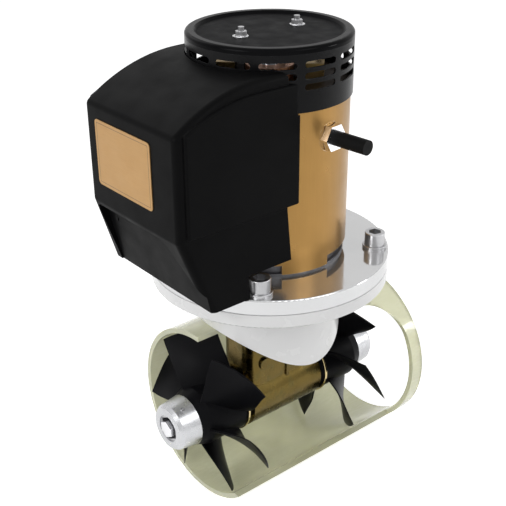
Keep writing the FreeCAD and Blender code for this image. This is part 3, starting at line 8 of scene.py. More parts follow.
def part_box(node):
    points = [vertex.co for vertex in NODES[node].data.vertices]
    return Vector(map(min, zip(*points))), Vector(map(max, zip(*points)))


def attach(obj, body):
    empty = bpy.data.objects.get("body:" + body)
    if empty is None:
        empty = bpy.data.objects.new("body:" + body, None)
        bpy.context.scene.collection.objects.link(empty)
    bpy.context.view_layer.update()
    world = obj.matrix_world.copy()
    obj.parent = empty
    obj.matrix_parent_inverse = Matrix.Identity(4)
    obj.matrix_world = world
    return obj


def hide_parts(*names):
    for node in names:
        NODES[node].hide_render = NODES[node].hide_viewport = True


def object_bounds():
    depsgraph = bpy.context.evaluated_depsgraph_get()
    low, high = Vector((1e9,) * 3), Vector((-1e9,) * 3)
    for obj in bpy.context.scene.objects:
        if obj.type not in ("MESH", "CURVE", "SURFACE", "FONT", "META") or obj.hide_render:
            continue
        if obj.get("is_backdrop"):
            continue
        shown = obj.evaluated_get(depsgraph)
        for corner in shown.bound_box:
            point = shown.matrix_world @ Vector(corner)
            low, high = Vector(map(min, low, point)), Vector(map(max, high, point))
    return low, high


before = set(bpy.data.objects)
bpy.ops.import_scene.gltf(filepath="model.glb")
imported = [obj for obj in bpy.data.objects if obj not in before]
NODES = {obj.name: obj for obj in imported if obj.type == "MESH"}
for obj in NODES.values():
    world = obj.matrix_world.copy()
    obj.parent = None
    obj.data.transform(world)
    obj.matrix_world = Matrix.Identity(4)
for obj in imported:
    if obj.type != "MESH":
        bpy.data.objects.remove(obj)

bl_info = {
    "name": "Bow thruster finish",
    "version": (1, 0, 0),
    "blender": (4, 5, 0),
    "location": "3D View > Sidebar > Thruster",
    "description": "Gives the bow thruster its finishes and small pieces, and sets the stage",
    "category": "Object",
}


# ---------------------------------------------------------------- finishes

CAP_RIM = (0.0700, 0.0735)   # radii between which the cap's paint goes from dull to glossy
BORDER_INSET = 0.0032        # middle of the plate's border line, in from the plate's edge
BORDER_HALF_WIDTH = 0.00022
BORDER_OUTSIDE = 0.0029      # the line isn't drawn nearer to the edge than this


class Finish:
    """One material built from shader nodes: colour drift, uneven gloss, relief and worn edges."""

    def __init__(self, name):
        self.material = bpy.data.materials.new(name)
        self.material.use_nodes = True
        self.tree = self.material.node_tree
        self.surface = self.tree.nodes["Principled BSDF"]
        self.place = self.node("ShaderNodeTexCoord").outputs["Object"]
        self.heights = []

    def node(self, kind, **settings):
        made = self.tree.nodes.new(kind)
        for key, value in settings.items():
            setattr(made, key, value)
        return made

    def feed(self, socket, value):
        """Links an output to a socket, or sets a plain value on it."""
        if isinstance(value, bpy.types.NodeSocket):
            self.tree.links.new(value, socket)
        else:
            socket.default_value = value

    def stretched(self, factors, turn=(0.0, 0.0, 0.0)):
        """Object coordinates drawn out along an axis, for brushing, grain or runs."""
        mapping = self.node("ShaderNodeMapping")
        self.feed(mapping.inputs["Vector"], self.place)
        mapping.inputs["Scale"].default_value = factors
        mapping.inputs["Rotation"].default_value = turn
        return mapping.outputs["Vector"]

    def noise(self, scale, detail=3.0, rough=0.5, where=None, warp=0.0):
        made = self.node("ShaderNodeTexNoise")
        self.feed(made.inputs["Vector"], where or self.place)
        made.inputs["Scale"].default_value = scale
        made.inputs["Detail"].default_value = detail
        made.inputs["Roughness"].default_value = rough
        made.inputs["Distortion"].default_value = warp
        return made.outputs["Fac"]

    def cells(self, scale, feature="F1", where=None):
        made = self.node("ShaderNodeTexVoronoi", feature=feature)
        self.feed(made.inputs["Vector"], where or self.place)
        made.inputs["Scale"].default_value = scale
        return made.outputs["Distance"]

    def spread(self, factor, low, high, start=0.3, stop=0.7):
        """Turns a pattern from start to stop into values from low to high."""
        made = self.node("ShaderNodeMapRange")
        self.feed(made.inputs["Value"], factor)
        made.inputs["From Min"].default_value = start
        made.inputs["From Max"].default_value = stop
        made.inputs["To Min"].default_value = low
        made.inputs["To Max"].default_value = high
        return made.outputs["Result"]

    def math(self, operation, first, second=0.0):
        made = self.node("ShaderNodeMath", operation=operation)
        self.feed(made.inputs[0], first)
        self.feed(made.inputs[1], second)
        return made.outputs["Value"]

    def tint(self, factor, first, second):
        made = self.node("ShaderNodeMix", data_type="RGBA")
        self.feed(made.inputs["Factor"], factor)
        for socket, value in ((made.inputs["A"], first), (made.inputs["B"], second)):
            is_colour = not isinstance(value, bpy.types.NodeSocket)
            self.feed(socket, (*value, 1.0) if is_colour else value)
        return made.outputs["Result"]

    def edges(self, width, uneven=120.0):
        """1 along edges, fading to 0 a width away, broken up so that worn edges, and the painted
        highlight on the tunnel's rim, are uneven.
        """
        bevel = self.node("ShaderNodeBevel", samples=6)
        bevel.inputs["Radius"].default_value = width
        flat = self.node("ShaderNodeNewGeometry")
        turn = self.node("ShaderNodeVectorMath", operation="DOT_PRODUCT")
        self.feed(turn.inputs[0], bevel.outputs["Normal"])
        self.feed(turn.inputs[1], flat.outputs["Normal"])
        edge = self.spread(turn.outputs["Value"], 1.0, 0.0, 0.84, 0.985)
        return self.math("MULTIPLY", edge, self.spread(self.noise(uneven), 0.1, 1.0, 0.4, 0.62))

    def axis(self, letter):
        """One object coordinate, in metres."""
        made = self.node("ShaderNodeSeparateXYZ")
        self.feed(made.inputs["Vector"], self.place)
        return made.outputs[letter]

    def relief(self, height, depth, strength=1.0):
        """Adds one layer of bump; later layers lie on earlier ones."""
        made = self.node("ShaderNodeBump")
        self.feed(made.inputs["Height"], height)
        made.inputs["Distance"].default_value = depth
        made.inputs["Strength"].default_value = strength
        if self.heights:
            self.feed(made.inputs["Normal"], self.heights[-1])
        self.heights.append(made.outputs["Normal"])

    def done(self, colour, gloss, **constants):
        self.feed(self.surface.inputs["Base Color"], colour)
        self.feed(self.surface.inputs["Roughness"], gloss)
        for name, value in constants.items():
            self.surface.inputs[name.replace("_", " ")].default_value = value
        if self.heights:
            self.feed(self.surface.inputs["Normal"], self.heights[-1])
        return self.material


def scaled(colour, amount):
    return tuple(min(1.0, part * amount) for part in colour)


def laminate_finish(colour):
    """Clear-glossed glass-fibre tube: pale resin with strands of glass just under the gloss, and a
    painted highlight along its cut edges.
    """
    f = Finish("glass_laminate")
    strands = f.noise(210.0, 4.0, 0.7, f.stretched((1.0, 0.22, 1.0), (0.0, 0.0, 0.6)), 1.5)
    crossing = f.noise(170.0, 4.0, 0.7, f.stretched((1.0, 0.25, 1.0), (0.0, 0.0, -0.7)), 1.5)
    glass = f.math("MULTIPLY", strands, crossing)
    body = f.tint(f.spread(f.noise(9.0, 2.0), 0.0, 1.0), scaled(colour, 0.86), scaled(colour, 1.04))
    body = f.tint(f.spread(glass, 0.0, 0.35, 0.2, 0.36), body, scaled(colour, 1.2))
    # painted highlight: the tube's edges are lightened towards pale yellow-white to stand in for
    # light catching its rim
    body = f.tint(f.edges(0.0016, 60.0), body, (0.98, 1.0, 0.80))
    f.relief(glass, 0.0004, 0.25)
    f.relief(f.noise(26.0, 2.0), 0.0012, 0.12)
    gloss = f.spread(f.noise(40.0), 0.10, 0.22)
    return f.done(body, gloss, Coat_Weight=0.5, Coat_Roughness=0.04, Transmission_Weight=0.45,
                  IOR=1.3)


def gelcoat_finish(colour):
    """White paint over a casting, satin, with a soft ripple and worn corners."""
    f = Finish("white_satin_paint")
    body = f.tint(f.spread(f.noise(14.0), 0.0, 1.0), scaled(colour, 0.94), colour)
    body = f.tint(f.spread(f.edges(0.0005), 0.0, 0.5, 0.4, 1.0), body, scaled(colour, 0.85))
    f.relief(f.noise(30.0, 2.0), 0.0005, 0.05)
    gloss = f.spread(f.noise(40.0, 4.0), 0.20, 0.30)
    return f.done(body, gloss, Coat_Weight=0.3, Coat_Roughness=0.08)


def polished_finish(colour):
    """Polished white metal of the motor's flange: a mirror with faint buffing marks."""
    f = Finish("polished_flange")
    marks = f.noise(260.0, 3.0, 0.6, f.stretched((1.0, 0.06, 1.0), (0.0, 0.0, 0.5)))
    body = f.tint(f.spread(f.noise(14.0), 0.0, 1.0), scaled(colour, 0.95), colour)
    body = f.tint(f.edges(0.0006), body, scaled(colour, 1.12))
    f.relief(marks, 0.00002, 0.12)
    gloss = f.spread(f.noise(50.0, 5.0), 0.05, 0.13)
    return f.done(body, gloss, Metallic=0.82)


def gold_finish(colour):
    """Gold-lacquered motor tube, drawn steel showing through as fine upright lines."""
    f = Finish("gold_lacquer")
    lines = f.noise(900.0, 2.0, 0.5, f.stretched((1.0, 1.0, 0.03)))
    body = f.tint(f.spread(f.noise(12.0), 0.0, 1.0), scaled(colour, 0.9), scaled(colour, 1.06))
    body = f.tint(f.spread(lines, 0.0, 0.18), body, scaled(colour, 1.25))
    body = f.tint(f.edges(0.0007), body, (0.72, 0.66, 0.55))
    f.relief(lines, 0.00006, 0.3)
    f.relief(f.noise(35.0, 2.0), 0.0006, 0.08)
    gloss = f.spread(f.noise(55.0, 4.0), 0.27, 0.38)
    return f.done(body, gloss, Metallic=0.8)


def moulded_finish(name, colour, gloss, grain=1100.0, worn=(0.016, 0.016, 0.0165), depth=0.00008):
    """Moulded plastic with a fine spark-eroded grain and rubbed corners."""
    f = Finish(name)
    pits = f.cells(grain)
    body = f.tint(f.spread(f.noise(18.0), 0.0, 1.0), scaled(colour, 0.85), scaled(colour, 1.2))
    body = f.tint(f.edges(0.0012), body, worn)
    f.relief(pits, depth, 0.35)
    f.relief(f.noise(22.0, 2.0), 0.0010, 0.06)
    return f.done(body, f.spread(f.noise(45.0, 5.0), gloss - 0.06, gloss + 0.07),
                  Specular_IOR_Level=0.035)


def enamel_finish(name, colour, gloss, worn):
    """Glossy enamel on sheet metal, chipped along its edges, with slight orange peel."""
    f = Finish(name)
    body = f.tint(f.spread(f.noise(20.0), 0.0, 1.0), scaled(colour, 0.8), scaled(colour, 1.3))
    body = f.tint(f.edges(0.0006), body, worn)
    f.relief(f.noise(420.0, 2.0), 0.00006, 0.25)
    return f.done(body, f.spread(f.noise(50.0, 4.0), gloss - 0.04, gloss + 0.07),
                  Specular_IOR_Level=0.10)


def crackle_finish(name, colour):
    """Dull black stove paint with a wrinkled skin, as on the cap's plate."""
    f = Finish(name)
    body = f.tint(f.spread(f.noise(30.0, 4.0), 0.0, 1.0), scaled(colour, 0.8), scaled(colour, 1.5))
    body = f.tint(f.edges(0.0008), body, scaled(colour, 4.0))
    f.relief(f.noise(520.0, 4.0, 0.6), 0.00012, 0.35)
    radius = f.node("ShaderNodeVectorMath", operation="LENGTH")
    f.feed(radius.inputs[0], f.stretched((1.0, 1.0, 0.0)))
    rim = f.spread(radius.outputs["Value"], 0.0, 1.0, *CAP_RIM)
    dull = f.spread(f.noise(60.0, 4.0), 0.46, 0.60)
    gloss = f.math("SUBTRACT", dull, f.math("MULTIPLY", rim, 0.34))
    return f.done(body, gloss, Specular_IOR_Level=0.03)


def metal_finish(name, colour, gloss, drawn=(1.0, 1.0, 1.0), grain=1200.0, worn=None,
                 stain=None, depth=0.00004):
    """Bare metal: machining or casting grain, smears of tarnish and bright worn edges."""
    f = Finish(name)
    lines = f.noise(grain, 3.0, 0.55, f.stretched(drawn))
    drift = f.spread(f.noise(30.0, 4.0), 0.0, 1.0)
    body = f.tint(drift, scaled(colour, 0.86), scaled(colour, 1.06))
    if stain:
        body = f.tint(f.spread(f.noise(75.0, 5.0, 0.65), 0.0, 0.6, 0.5, 0.72), body, stain)
    body = f.tint(f.edges(0.0005), body, worn or scaled(colour, 1.3))
    f.relief(lines, depth, 0.4)
    smear = f.spread(f.noise(90.0, 5.0), gloss - 0.07, gloss + 0.09)
    return f.done(body, smear, Metallic=1.0)


def rubber_finish(name, colour):
    """Dull rubber with a dusty bloom and a fine even skin."""
    f = Finish(name)
    body = f.tint(f.spread(f.noise(60.0, 4.0), 0.0, 1.0), colour, scaled(colour, 2.0))
    body = f.tint(f.edges(0.0008), body, scaled(colour, 3.0))
    f.relief(f.noise(700.0, 3.0), 0.00008, 0.4)
    return f.done(body, f.spread(f.noise(120.0), 0.48, 0.68), Specular_IOR_Level=0.08)


def plate_finish(colour, low, high):
    """Thin printed plate: brushed gold with one fine dark border line and no lettering."""
    f = Finish("gold_plate")
    middle = [(a + b) / 2.0 for a, b in zip(low, high)]
    brushed = f.noise(1500.0, 2.0, 0.5, f.stretched((0.04, 1.0, 1.0)))
    body = f.tint(f.spread(brushed, 0.0, 0.35), scaled(colour, 0.93), scaled(colour, 1.12))
    body = f.tint(f.spread(f.noise(25.0), 0.0, 0.3), body, scaled(colour, 0.8))
    border = 0.0
    for letter, centre, half in (("X", middle[0], (high[0] - low[0]) / 2.0),
                                 ("Z", middle[2], (high[2] - low[2]) / 2.0)):
        away = f.math("ABSOLUTE", f.math("SUBTRACT", f.axis(letter), centre))
        band = f.math("COMPARE", away, half - BORDER_INSET)
        band.node.inputs[2].default_value = BORDER_HALF_WIDTH
        border = f.math("MAXIMUM", border, band)
    inside = border
    for letter, centre, half in (("X", middle[0], (high[0] - low[0]) / 2.0),
                                 ("Z", middle[2], (high[2] - low[2]) / 2.0)):
        away = f.math("ABSOLUTE", f.math("SUBTRACT", f.axis(letter), centre))
        inside = f.math("MULTIPLY", inside, f.math("LESS_THAN", away, half - BORDER_OUTSIDE))
    body = f.tint(inside, body, (0.10, 0.07, 0.04))
    f.relief(brushed, 0.00003, 0.3)
    return f.done(body, f.spread(f.noise(80.0), 0.32, 0.44), Metallic=0.55)


def dress(material, *names):
    """Gives the named parts of the frame one finish."""
    for name in names:
        slots = NODES[name].data.materials
        slots.clear()
        slots.append(material)


# ---------------------------------------------------------------- new pieces

SHARP_ANGLE = math.radians(32.0)
BAND_STEPS = 192
BAND_WALL = 0.0016
SLOT_ROWS = 3
SLOT_GROUPS = 12
SLOT_START = math.radians(-35.0)
SLOT_WIDTH = 0.035
SLOT_HEIGHT = 0.0064
SLOT_FIRST = 0.0238      # middle of the lowest row above the band's lower edge
SLOT_PITCH = 0.0104
SLOT_OVERCUT = 0.004
SLOT_END_STEPS = 22
WASHER_STEPS = 48
WASHER_BORE = 1.03       # as a share of the nut's half width
WASHER_REACH = 1.45      # outer radius as a share of the bore
WASHER_RIM = 0.0007
WASHER_CROWN = 0.0009
BOLT_FLATS = 0.017
BOLT_HEIGHT = 0.0135
BOLT_SEAT = 0.0105       # from the nose cone's end back to the seat of its bolt
BOLT_ROUNDING = 0.0009
GRUB_ANGLE = 66.0
GRUB_RADIUS = 0.0276
GRUB_STEPS = 24
GRUB_OUTLINE = ((0.0010, -0.0010), (0.0024, -0.0010), (0.0024, 0.0), (0.0020, 0.0004),
                (0.0012, 0.0004), (0.0010, 0.0001))   # radius, height
COLLAR_STEPS = 128
COLLAR_INSET = 0.0034    # from the end of the leg's cross tube
COLLAR_WIDTH = 0.003
COLLAR_PROUD = 0.0008    # stands out of the tube by this, and is sunk in it as much
COLLAR_SHOULDER = 0.0004
COLLAR_CHAMFER = 0.0005
RIB_SIZE = (0.0032, 0.0030, 0.045)
RIB_TAPER = 0.7          # width of a rib's top as a share of its foot
RIB_ROUNDING = 0.0006
RIB_PLACE = (0.0265, 0.003, 0.042)
GROMMET_LENGTH = 0.008
GROMMET_WIDTH = 0.004
GROMMET_DEPTH = 0.0024
GROMMET_PLACE = (-0.055, -0.1486, 0.230)


def finished_mesh(name, shape):
    """Makes a mesh of a bmesh, with its faces outwards."""
    bmesh.ops.recalc_face_normals(shape, faces=shape.faces)
    mesh = bpy.data.meshes.new(name)
    shape.to_mesh(mesh)
    shape.free()
    return mesh


def add_piece(name, mesh, body, material):
    """Adds a mesh to the thruster as a piece that moves with one body."""
    mesh.polygons.foreach_set("use_smooth", [True] * len(mesh.polygons))
    mesh.set_sharp_from_angle(angle=SHARP_ANGLE)
    mesh.materials.clear()
    mesh.materials.append(material)
    piece = bpy.data.objects.new(name, mesh)
    bpy.context.scene.collection.objects.link(piece)
    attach(piece, body)
    return piece


def turned_ring(profile, steps, shape=None, place=None):
    """Adds a ring to shape: a closed outline of (radius, height) turned about Z, then placed."""
    shape = shape or bmesh.new()
    verts = [shape.verts.new((radius, 0.0, height)) for radius, height in profile]
    edges = [shape.edges.new((verts[i - 1], verts[i])) for i in range(len(verts))]
    before = set(shape.verts) - set(verts)
    bmesh.ops.spin(shape, geom=verts + edges, cent=(0.0, 0.0, 0.0), axis=(0.0, 0.0, 1.0),
                   angle=math.tau, steps=steps, use_merge=True)
    if place is not None:
        bmesh.ops.transform(shape, matrix=place, verts=[v for v in shape.verts
                                                        if v not in before])
    return shape


def slot_bar(shape, width, height, reach, place):
    """Adds a bar with a round-ended section, width along X and height along Y, up Z."""
    end = bmesh.ops.create_circle(shape, cap_ends=True, segments=SLOT_END_STEPS,
                                  radius=height / 2.0)["verts"]
    for vert in end:
        vert.co.x += math.copysign((width - height) / 2.0, vert.co.x)
    face = end[0].link_faces[0]
    grown = bmesh.ops.extrude_face_region(shape, geom=[face], use_keep_orig=True)["geom"]
    top = [item for item in grown if isinstance(item, bmesh.types.BMVert)]
    bmesh.ops.translate(shape, verts=top, vec=(0.0, 0.0, reach))
    bmesh.ops.transform(shape, matrix=place, verts=end + top)


def cut_away(shape, cutter):
    """A mesh of shape less cutter, both bmeshes."""
    whole = bpy.data.objects.new("whole", finished_mesh("whole", shape))
    tool = bpy.data.objects.new("tool", finished_mesh("tool", cutter))
    for item in (whole, tool):
        bpy.context.scene.collection.objects.link(item)
    cut = whole.modifiers.new("cut", "BOOLEAN")
    cut.operation = "DIFFERENCE"
    cut.solver = "EXACT"
    cut.object = tool
    ready = whole.evaluated_get(bpy.context.evaluated_depsgraph_get())
    mesh = bpy.data.meshes.new_from_object(ready)
    for item in (whole, tool):
        spent = item.data
        bpy.data.objects.remove(item)
        bpy.data.meshes.remove(spent)
    return mesh


# ---------------------------------------------------------------- what a user may change

class ThrusterColours(bpy.types.PropertyGroup):
    """Colours of the large surfaces."""
    resin: bpy.props.FloatVectorProperty(
        name="Tunnel resin", description="Colour of the glass-fibre tunnel", subtype="COLOR",
        default=(0.92, 0.92, 0.68), min=0.0, max=1.0)
    gelcoat: bpy.props.FloatVectorProperty(
        name="Flange paint", description="Colour of the hull flange", subtype="COLOR",
        default=(0.88, 0.88, 0.88), min=0.0, max=1.0)
    flange: bpy.props.FloatVectorProperty(
        name="Flange metal", description="Colour of the polished motor flange", subtype="COLOR",
        default=(0.62, 0.623, 0.628), min=0.0, max=1.0)
    gold: bpy.props.FloatVectorProperty(
        name="Motor lacquer", description="Colour of the motor tube", subtype="COLOR",
        default=(0.34, 0.19, 0.055), min=0.0, max=1.0)
    cover: bpy.props.FloatVectorProperty(
        name="Cover plastic", description="Colour of the moulded cover", subtype="COLOR",
        default=(0.0034, 0.0034, 0.0036), min=0.0, max=1.0)
    band: bpy.props.FloatVectorProperty(
        name="Band enamel", description="Colour of the vented band and cap", subtype="COLOR",
        default=(0.004, 0.004, 0.0045), min=0.0, max=1.0)
    bronze: bpy.props.FloatVectorProperty(
        name="Leg bronze", description="Colour of the gear leg's casting", subtype="COLOR",
        default=(0.125, 0.088, 0.025), min=0.0, max=1.0)
    blades: bpy.props.FloatVectorProperty(
        name="Propeller plastic", description="Colour of both propellers", subtype="COLOR",
        default=(0.006, 0.006, 0.007), min=0.0, max=1.0)


class ThrusterStage(bpy.types.PropertyGroup):
    """Floor, lamps and camera."""
    floor_gap: bpy.props.FloatProperty(
        name="Floor gap", description="Space between the floor and the lowest point",
        subtype="DISTANCE", unit="LENGTH", default=0.0005, min=0.0, max=0.01)
    floor_size: bpy.props.FloatProperty(
        name="Floor size", description="Side of the square floor", subtype="DISTANCE",
        unit="LENGTH", default=14.0, min=1.0, max=50.0)
    lens: bpy.props.FloatProperty(
        name="Lens", description="Focal length of the camera in millimetres",
        default=68.87, min=10.0, max=300.0)
    azimuth: bpy.props.FloatProperty(
        name="Azimuth", description="Direction from which the camera looks, 0 from -Y",
        subtype="ANGLE", unit="ROTATION", default=math.radians(50.595))
    elevation: bpy.props.FloatProperty(
        name="Elevation", description="Height of the view above the horizon",
        subtype="ANGLE", unit="ROTATION", default=math.radians(26.769))
    roll: bpy.props.FloatProperty(
        name="Roll", description="Turn of the camera about its own line of sight",
        subtype="ANGLE", unit="ROTATION", default=math.radians(-0.42))
    sky: bpy.props.FloatProperty(
        name="Sky light", description="Strength of the even light from all round",
        default=0.30, min=0.0, max=5.0)


# ---------------------------------------------------------------- operators

class THRUSTER_OT_tunnel(bpy.types.Operator):
    """Finish the glass-fibre tunnel"""
    bl_idname = "thruster.tunnel"
    bl_label = "Tunnel"

    def execute(self, context):
        dress(laminate_finish(context.scene.thruster_colours.resin), "tunnel")
        return {"FINISHED"}


class THRUSTER_OT_flanges(bpy.types.Operator):
    """Finish the two flanges and the gasket between them"""
    bl_idname = "thruster.flanges"
    bl_label = "Flanges"

    def execute(self, context):
        colours = context.scene.thruster_colours
        dress(gelcoat_finish(colours.gelcoat), "saddle_flange")
        dress(polished_finish(colours.flange), "motor_bracket")
        dress(rubber_finish("gasket_rubber", (0.02, 0.02, 0.02)), "flange_gasket")
        return {"FINISHED"}


class THRUSTER_OT_motor(bpy.types.Operator):
    """Finish the motor: tube, foot, terminal and what shows through its vents"""
    bl_idname = "thruster.motor"
    bl_label = "Motor"

    def execute(self, context):
        colours = context.scene.thruster_colours
        dress(gold_finish(colours.gold), "yoke_tube")
        dress(metal_finish("cast_iron", (0.16, 0.16, 0.17), 0.45, grain=500.0,
                           stain=(0.10, 0.07, 0.05), depth=0.00015),
              "adapter_ring", "motor_foot", "top_frame", "armature_core", "field_magnets")
        dress(metal_finish("chromed_nut", (0.86, 0.86, 0.88), 0.12), "terminal_nut")
        dress(rubber_finish("terminal_rubber", (0.005, 0.005, 0.005)), "terminal_sleeve")
        dress(moulded_finish("brush_board", (0.05, 0.035, 0.025), 0.45), "brush_plate")
        dress(rubber_finish("carbon_block", (0.04, 0.04, 0.042)), "carbon_brushes")
        dress(metal_finish("brass", (0.62, 0.43, 0.16), 0.3), "brush_holders")
        dress(metal_finish("copper", (0.72, 0.36, 0.20), 0.3, (1.0, 1.0, 0.1)), "commutator",
              "armature_windings", "relay_studs")
        return {"FINISHED"}


class THRUSTER_OT_cap(bpy.types.Operator):
    """Finish the vented band and the cap over the brushes"""
    bl_idname = "thruster.cap"
    bl_label = "Vented band and cap"

    def execute(self, context):
        paint = context.scene.thruster_colours.band
        enamel = enamel_finish("black_enamel", paint, 0.22, (0.03, 0.03, 0.033))
        dress(enamel, "vent_band")
        dress(crackle_finish("cap_paint", paint), "top_cap")
        self.band(enamel)
        self.washers()
        return {"FINISHED"}

    def band(self, enamel):
        """The band with its full round-ended slots, cut through a turned ring."""
        low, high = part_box("vent_band")
        outer = (high.x - low.x) / 2.0
        inner = outer - BAND_WALL
        ring = turned_ring([(inner, low.z), (outer, low.z), (outer, high.z), (inner, high.z)],
                           BAND_STEPS)
        cutter = bmesh.new()
        for row in range(SLOT_ROWS):
            for i in range(SLOT_GROUPS):
                turn = Matrix.Rotation(SLOT_START + i * math.tau / SLOT_GROUPS, 4, "Z")
                place = Matrix.Translation((inner - SLOT_OVERCUT, 0.0,
                                            low.z + SLOT_FIRST + SLOT_PITCH * row))
                lie = Matrix.Rotation(math.radians(90.0), 4, "Y") @ Matrix.Rotation(
                    math.radians(90.0), 4, "Z")
                slot_bar(cutter, SLOT_WIDTH, SLOT_HEIGHT, BAND_WALL + 2.0 * SLOT_OVERCUT,
                         turn @ place @ lie)
        band = add_piece("slotted_band", cut_away(ring, cutter), "housing", enamel)
        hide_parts("vent_band")

    def washers(self):
        """Thin washers round the two nuts of the cap."""
        low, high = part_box("cap_nuts")
        bore = (high.x - low.x) / 2.0 * WASHER_BORE
        reach = bore * WASHER_REACH
        steel = metal_finish("washer_steel", (0.55, 0.55, 0.56), 0.25)
        shape = bmesh.new()
        for side in (low.y + bore, high.y - bore):
            turned_ring([(bore, low.z), (reach, low.z), (reach, low.z + WASHER_RIM),
                         (bore, low.z + WASHER_CROWN)],
                        WASHER_STEPS, shape, Matrix.Translation((0.0, side, 0.0)))
        add_piece("cap_washers", finished_mesh("cap_washers", shape), "housing",
                  steel)


class THRUSTER_OT_cover(bpy.types.Operator):
    """Finish the moulded cover, its plate and the relays inside"""
    bl_idname = "thruster.cover"
    bl_label = "Cover"

    def execute(self, context):
        colours = context.scene.thruster_colours
        dress(moulded_finish("cover_plastic", colours.cover, 0.44), "cover")
        dress(plate_finish((0.50, 0.285, 0.10), *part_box("label_plate")), "label_plate")
        dress(moulded_finish("relay_plastic", (0.05, 0.05, 0.055), 0.4), "relays")
        dress(metal_finish("galvanised_sheet", (0.60, 0.61, 0.63), 0.35, grain=160.0),
              "relay_bracket")
        self.grommet()
        return {"FINISHED"}

    def grommet(self):
        """Rubber grommet of the cable slot, low in the recess at the cover's front."""
        shape = bmesh.new()
        lie = Matrix.Rotation(math.radians(90.0), 4, "X") @ Matrix.Rotation(
            math.radians(90.0), 4, "Z")
        slot_bar(shape, GROMMET_LENGTH, GROMMET_WIDTH, GROMMET_DEPTH,
                 Matrix.Translation(GROMMET_PLACE) @ lie)
        add_piece("cable_grommet", finished_mesh("cable_grommet", shape), "housing",
                  rubber_finish("grommet_rubber", (0.002, 0.002, 0.002)))


class THRUSTER_OT_leg(bpy.types.Operator):
    """Finish the bronze gear leg"""
    bl_idname = "thruster.leg"
    bl_label = "Gear leg"

    def execute(self, context):
        bronze = metal_finish("cast_bronze", context.scene.thruster_colours.bronze, 0.24,
                              grain=420.0, stain=(0.08, 0.075, 0.03), depth=0.00012)
        dress(bronze, "gear_leg", "bearing_carrier", "oil_plug")
        dress(rubber_finish("seal_rubber", (0.005, 0.005, 0.005)), "prop_seal_near",
              "prop_seal_far", "coupling_spider")
        self.end_rings()
        self.ribs(bronze)
        return {"FINISHED"}

    def end_rings(self):
        """Bright turned collars near both ends of the leg's cross tube."""
        bright = metal_finish("turned_bronze", (0.62, 0.50, 0.26), 0.16, grain=1500.0)
        low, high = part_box("gear_leg")
        radius = -low.z
        shape = bmesh.new()
        lie = Matrix.Rotation(math.radians(-90.0), 4, "X")
        bottom, shoulder, top = (radius - COLLAR_PROUD, radius + COLLAR_SHOULDER,
                                 radius + COLLAR_PROUD)
        for start in (low.y + COLLAR_INSET, high.y - COLLAR_INSET - COLLAR_WIDTH):
            end = start + COLLAR_WIDTH
            turned_ring([(bottom, start), (shoulder, start), (top, start + COLLAR_CHAMFER),
                         (top, end - COLLAR_CHAMFER), (shoulder, end), (bottom, end)],
                        COLLAR_STEPS, shape, lie)
        add_piece("leg_collars", finished_mesh("leg_collars", shape), "housing", bright)

    def ribs(self, bronze):
        """A tapered casting rib down the middle of each face of the strut."""
        shape = bmesh.new()
        for side in (-1.0, 1.0):
            made = bmesh.ops.create_cube(shape, size=1.0)["verts"]
            bmesh.ops.scale(shape, verts=made, vec=RIB_SIZE)
            for vert in made:
                if vert.co.z > 0.0:
                    vert.co.x *= RIB_TAPER
                    vert.co.y *= RIB_TAPER
            edges = list({edge for vert in made for edge in vert.link_edges})
            soft = bmesh.ops.bevel(shape, geom=edges, offset=RIB_ROUNDING, segments=2, profile=0.5,
                                   affect="EDGES", material=-1)["verts"]
            bmesh.ops.translate(shape, verts=soft, vec=(RIB_PLACE[0] * side, *RIB_PLACE[1:]))
        add_piece("strut_ribs", finished_mesh("strut_ribs", shape), "housing", bronze)


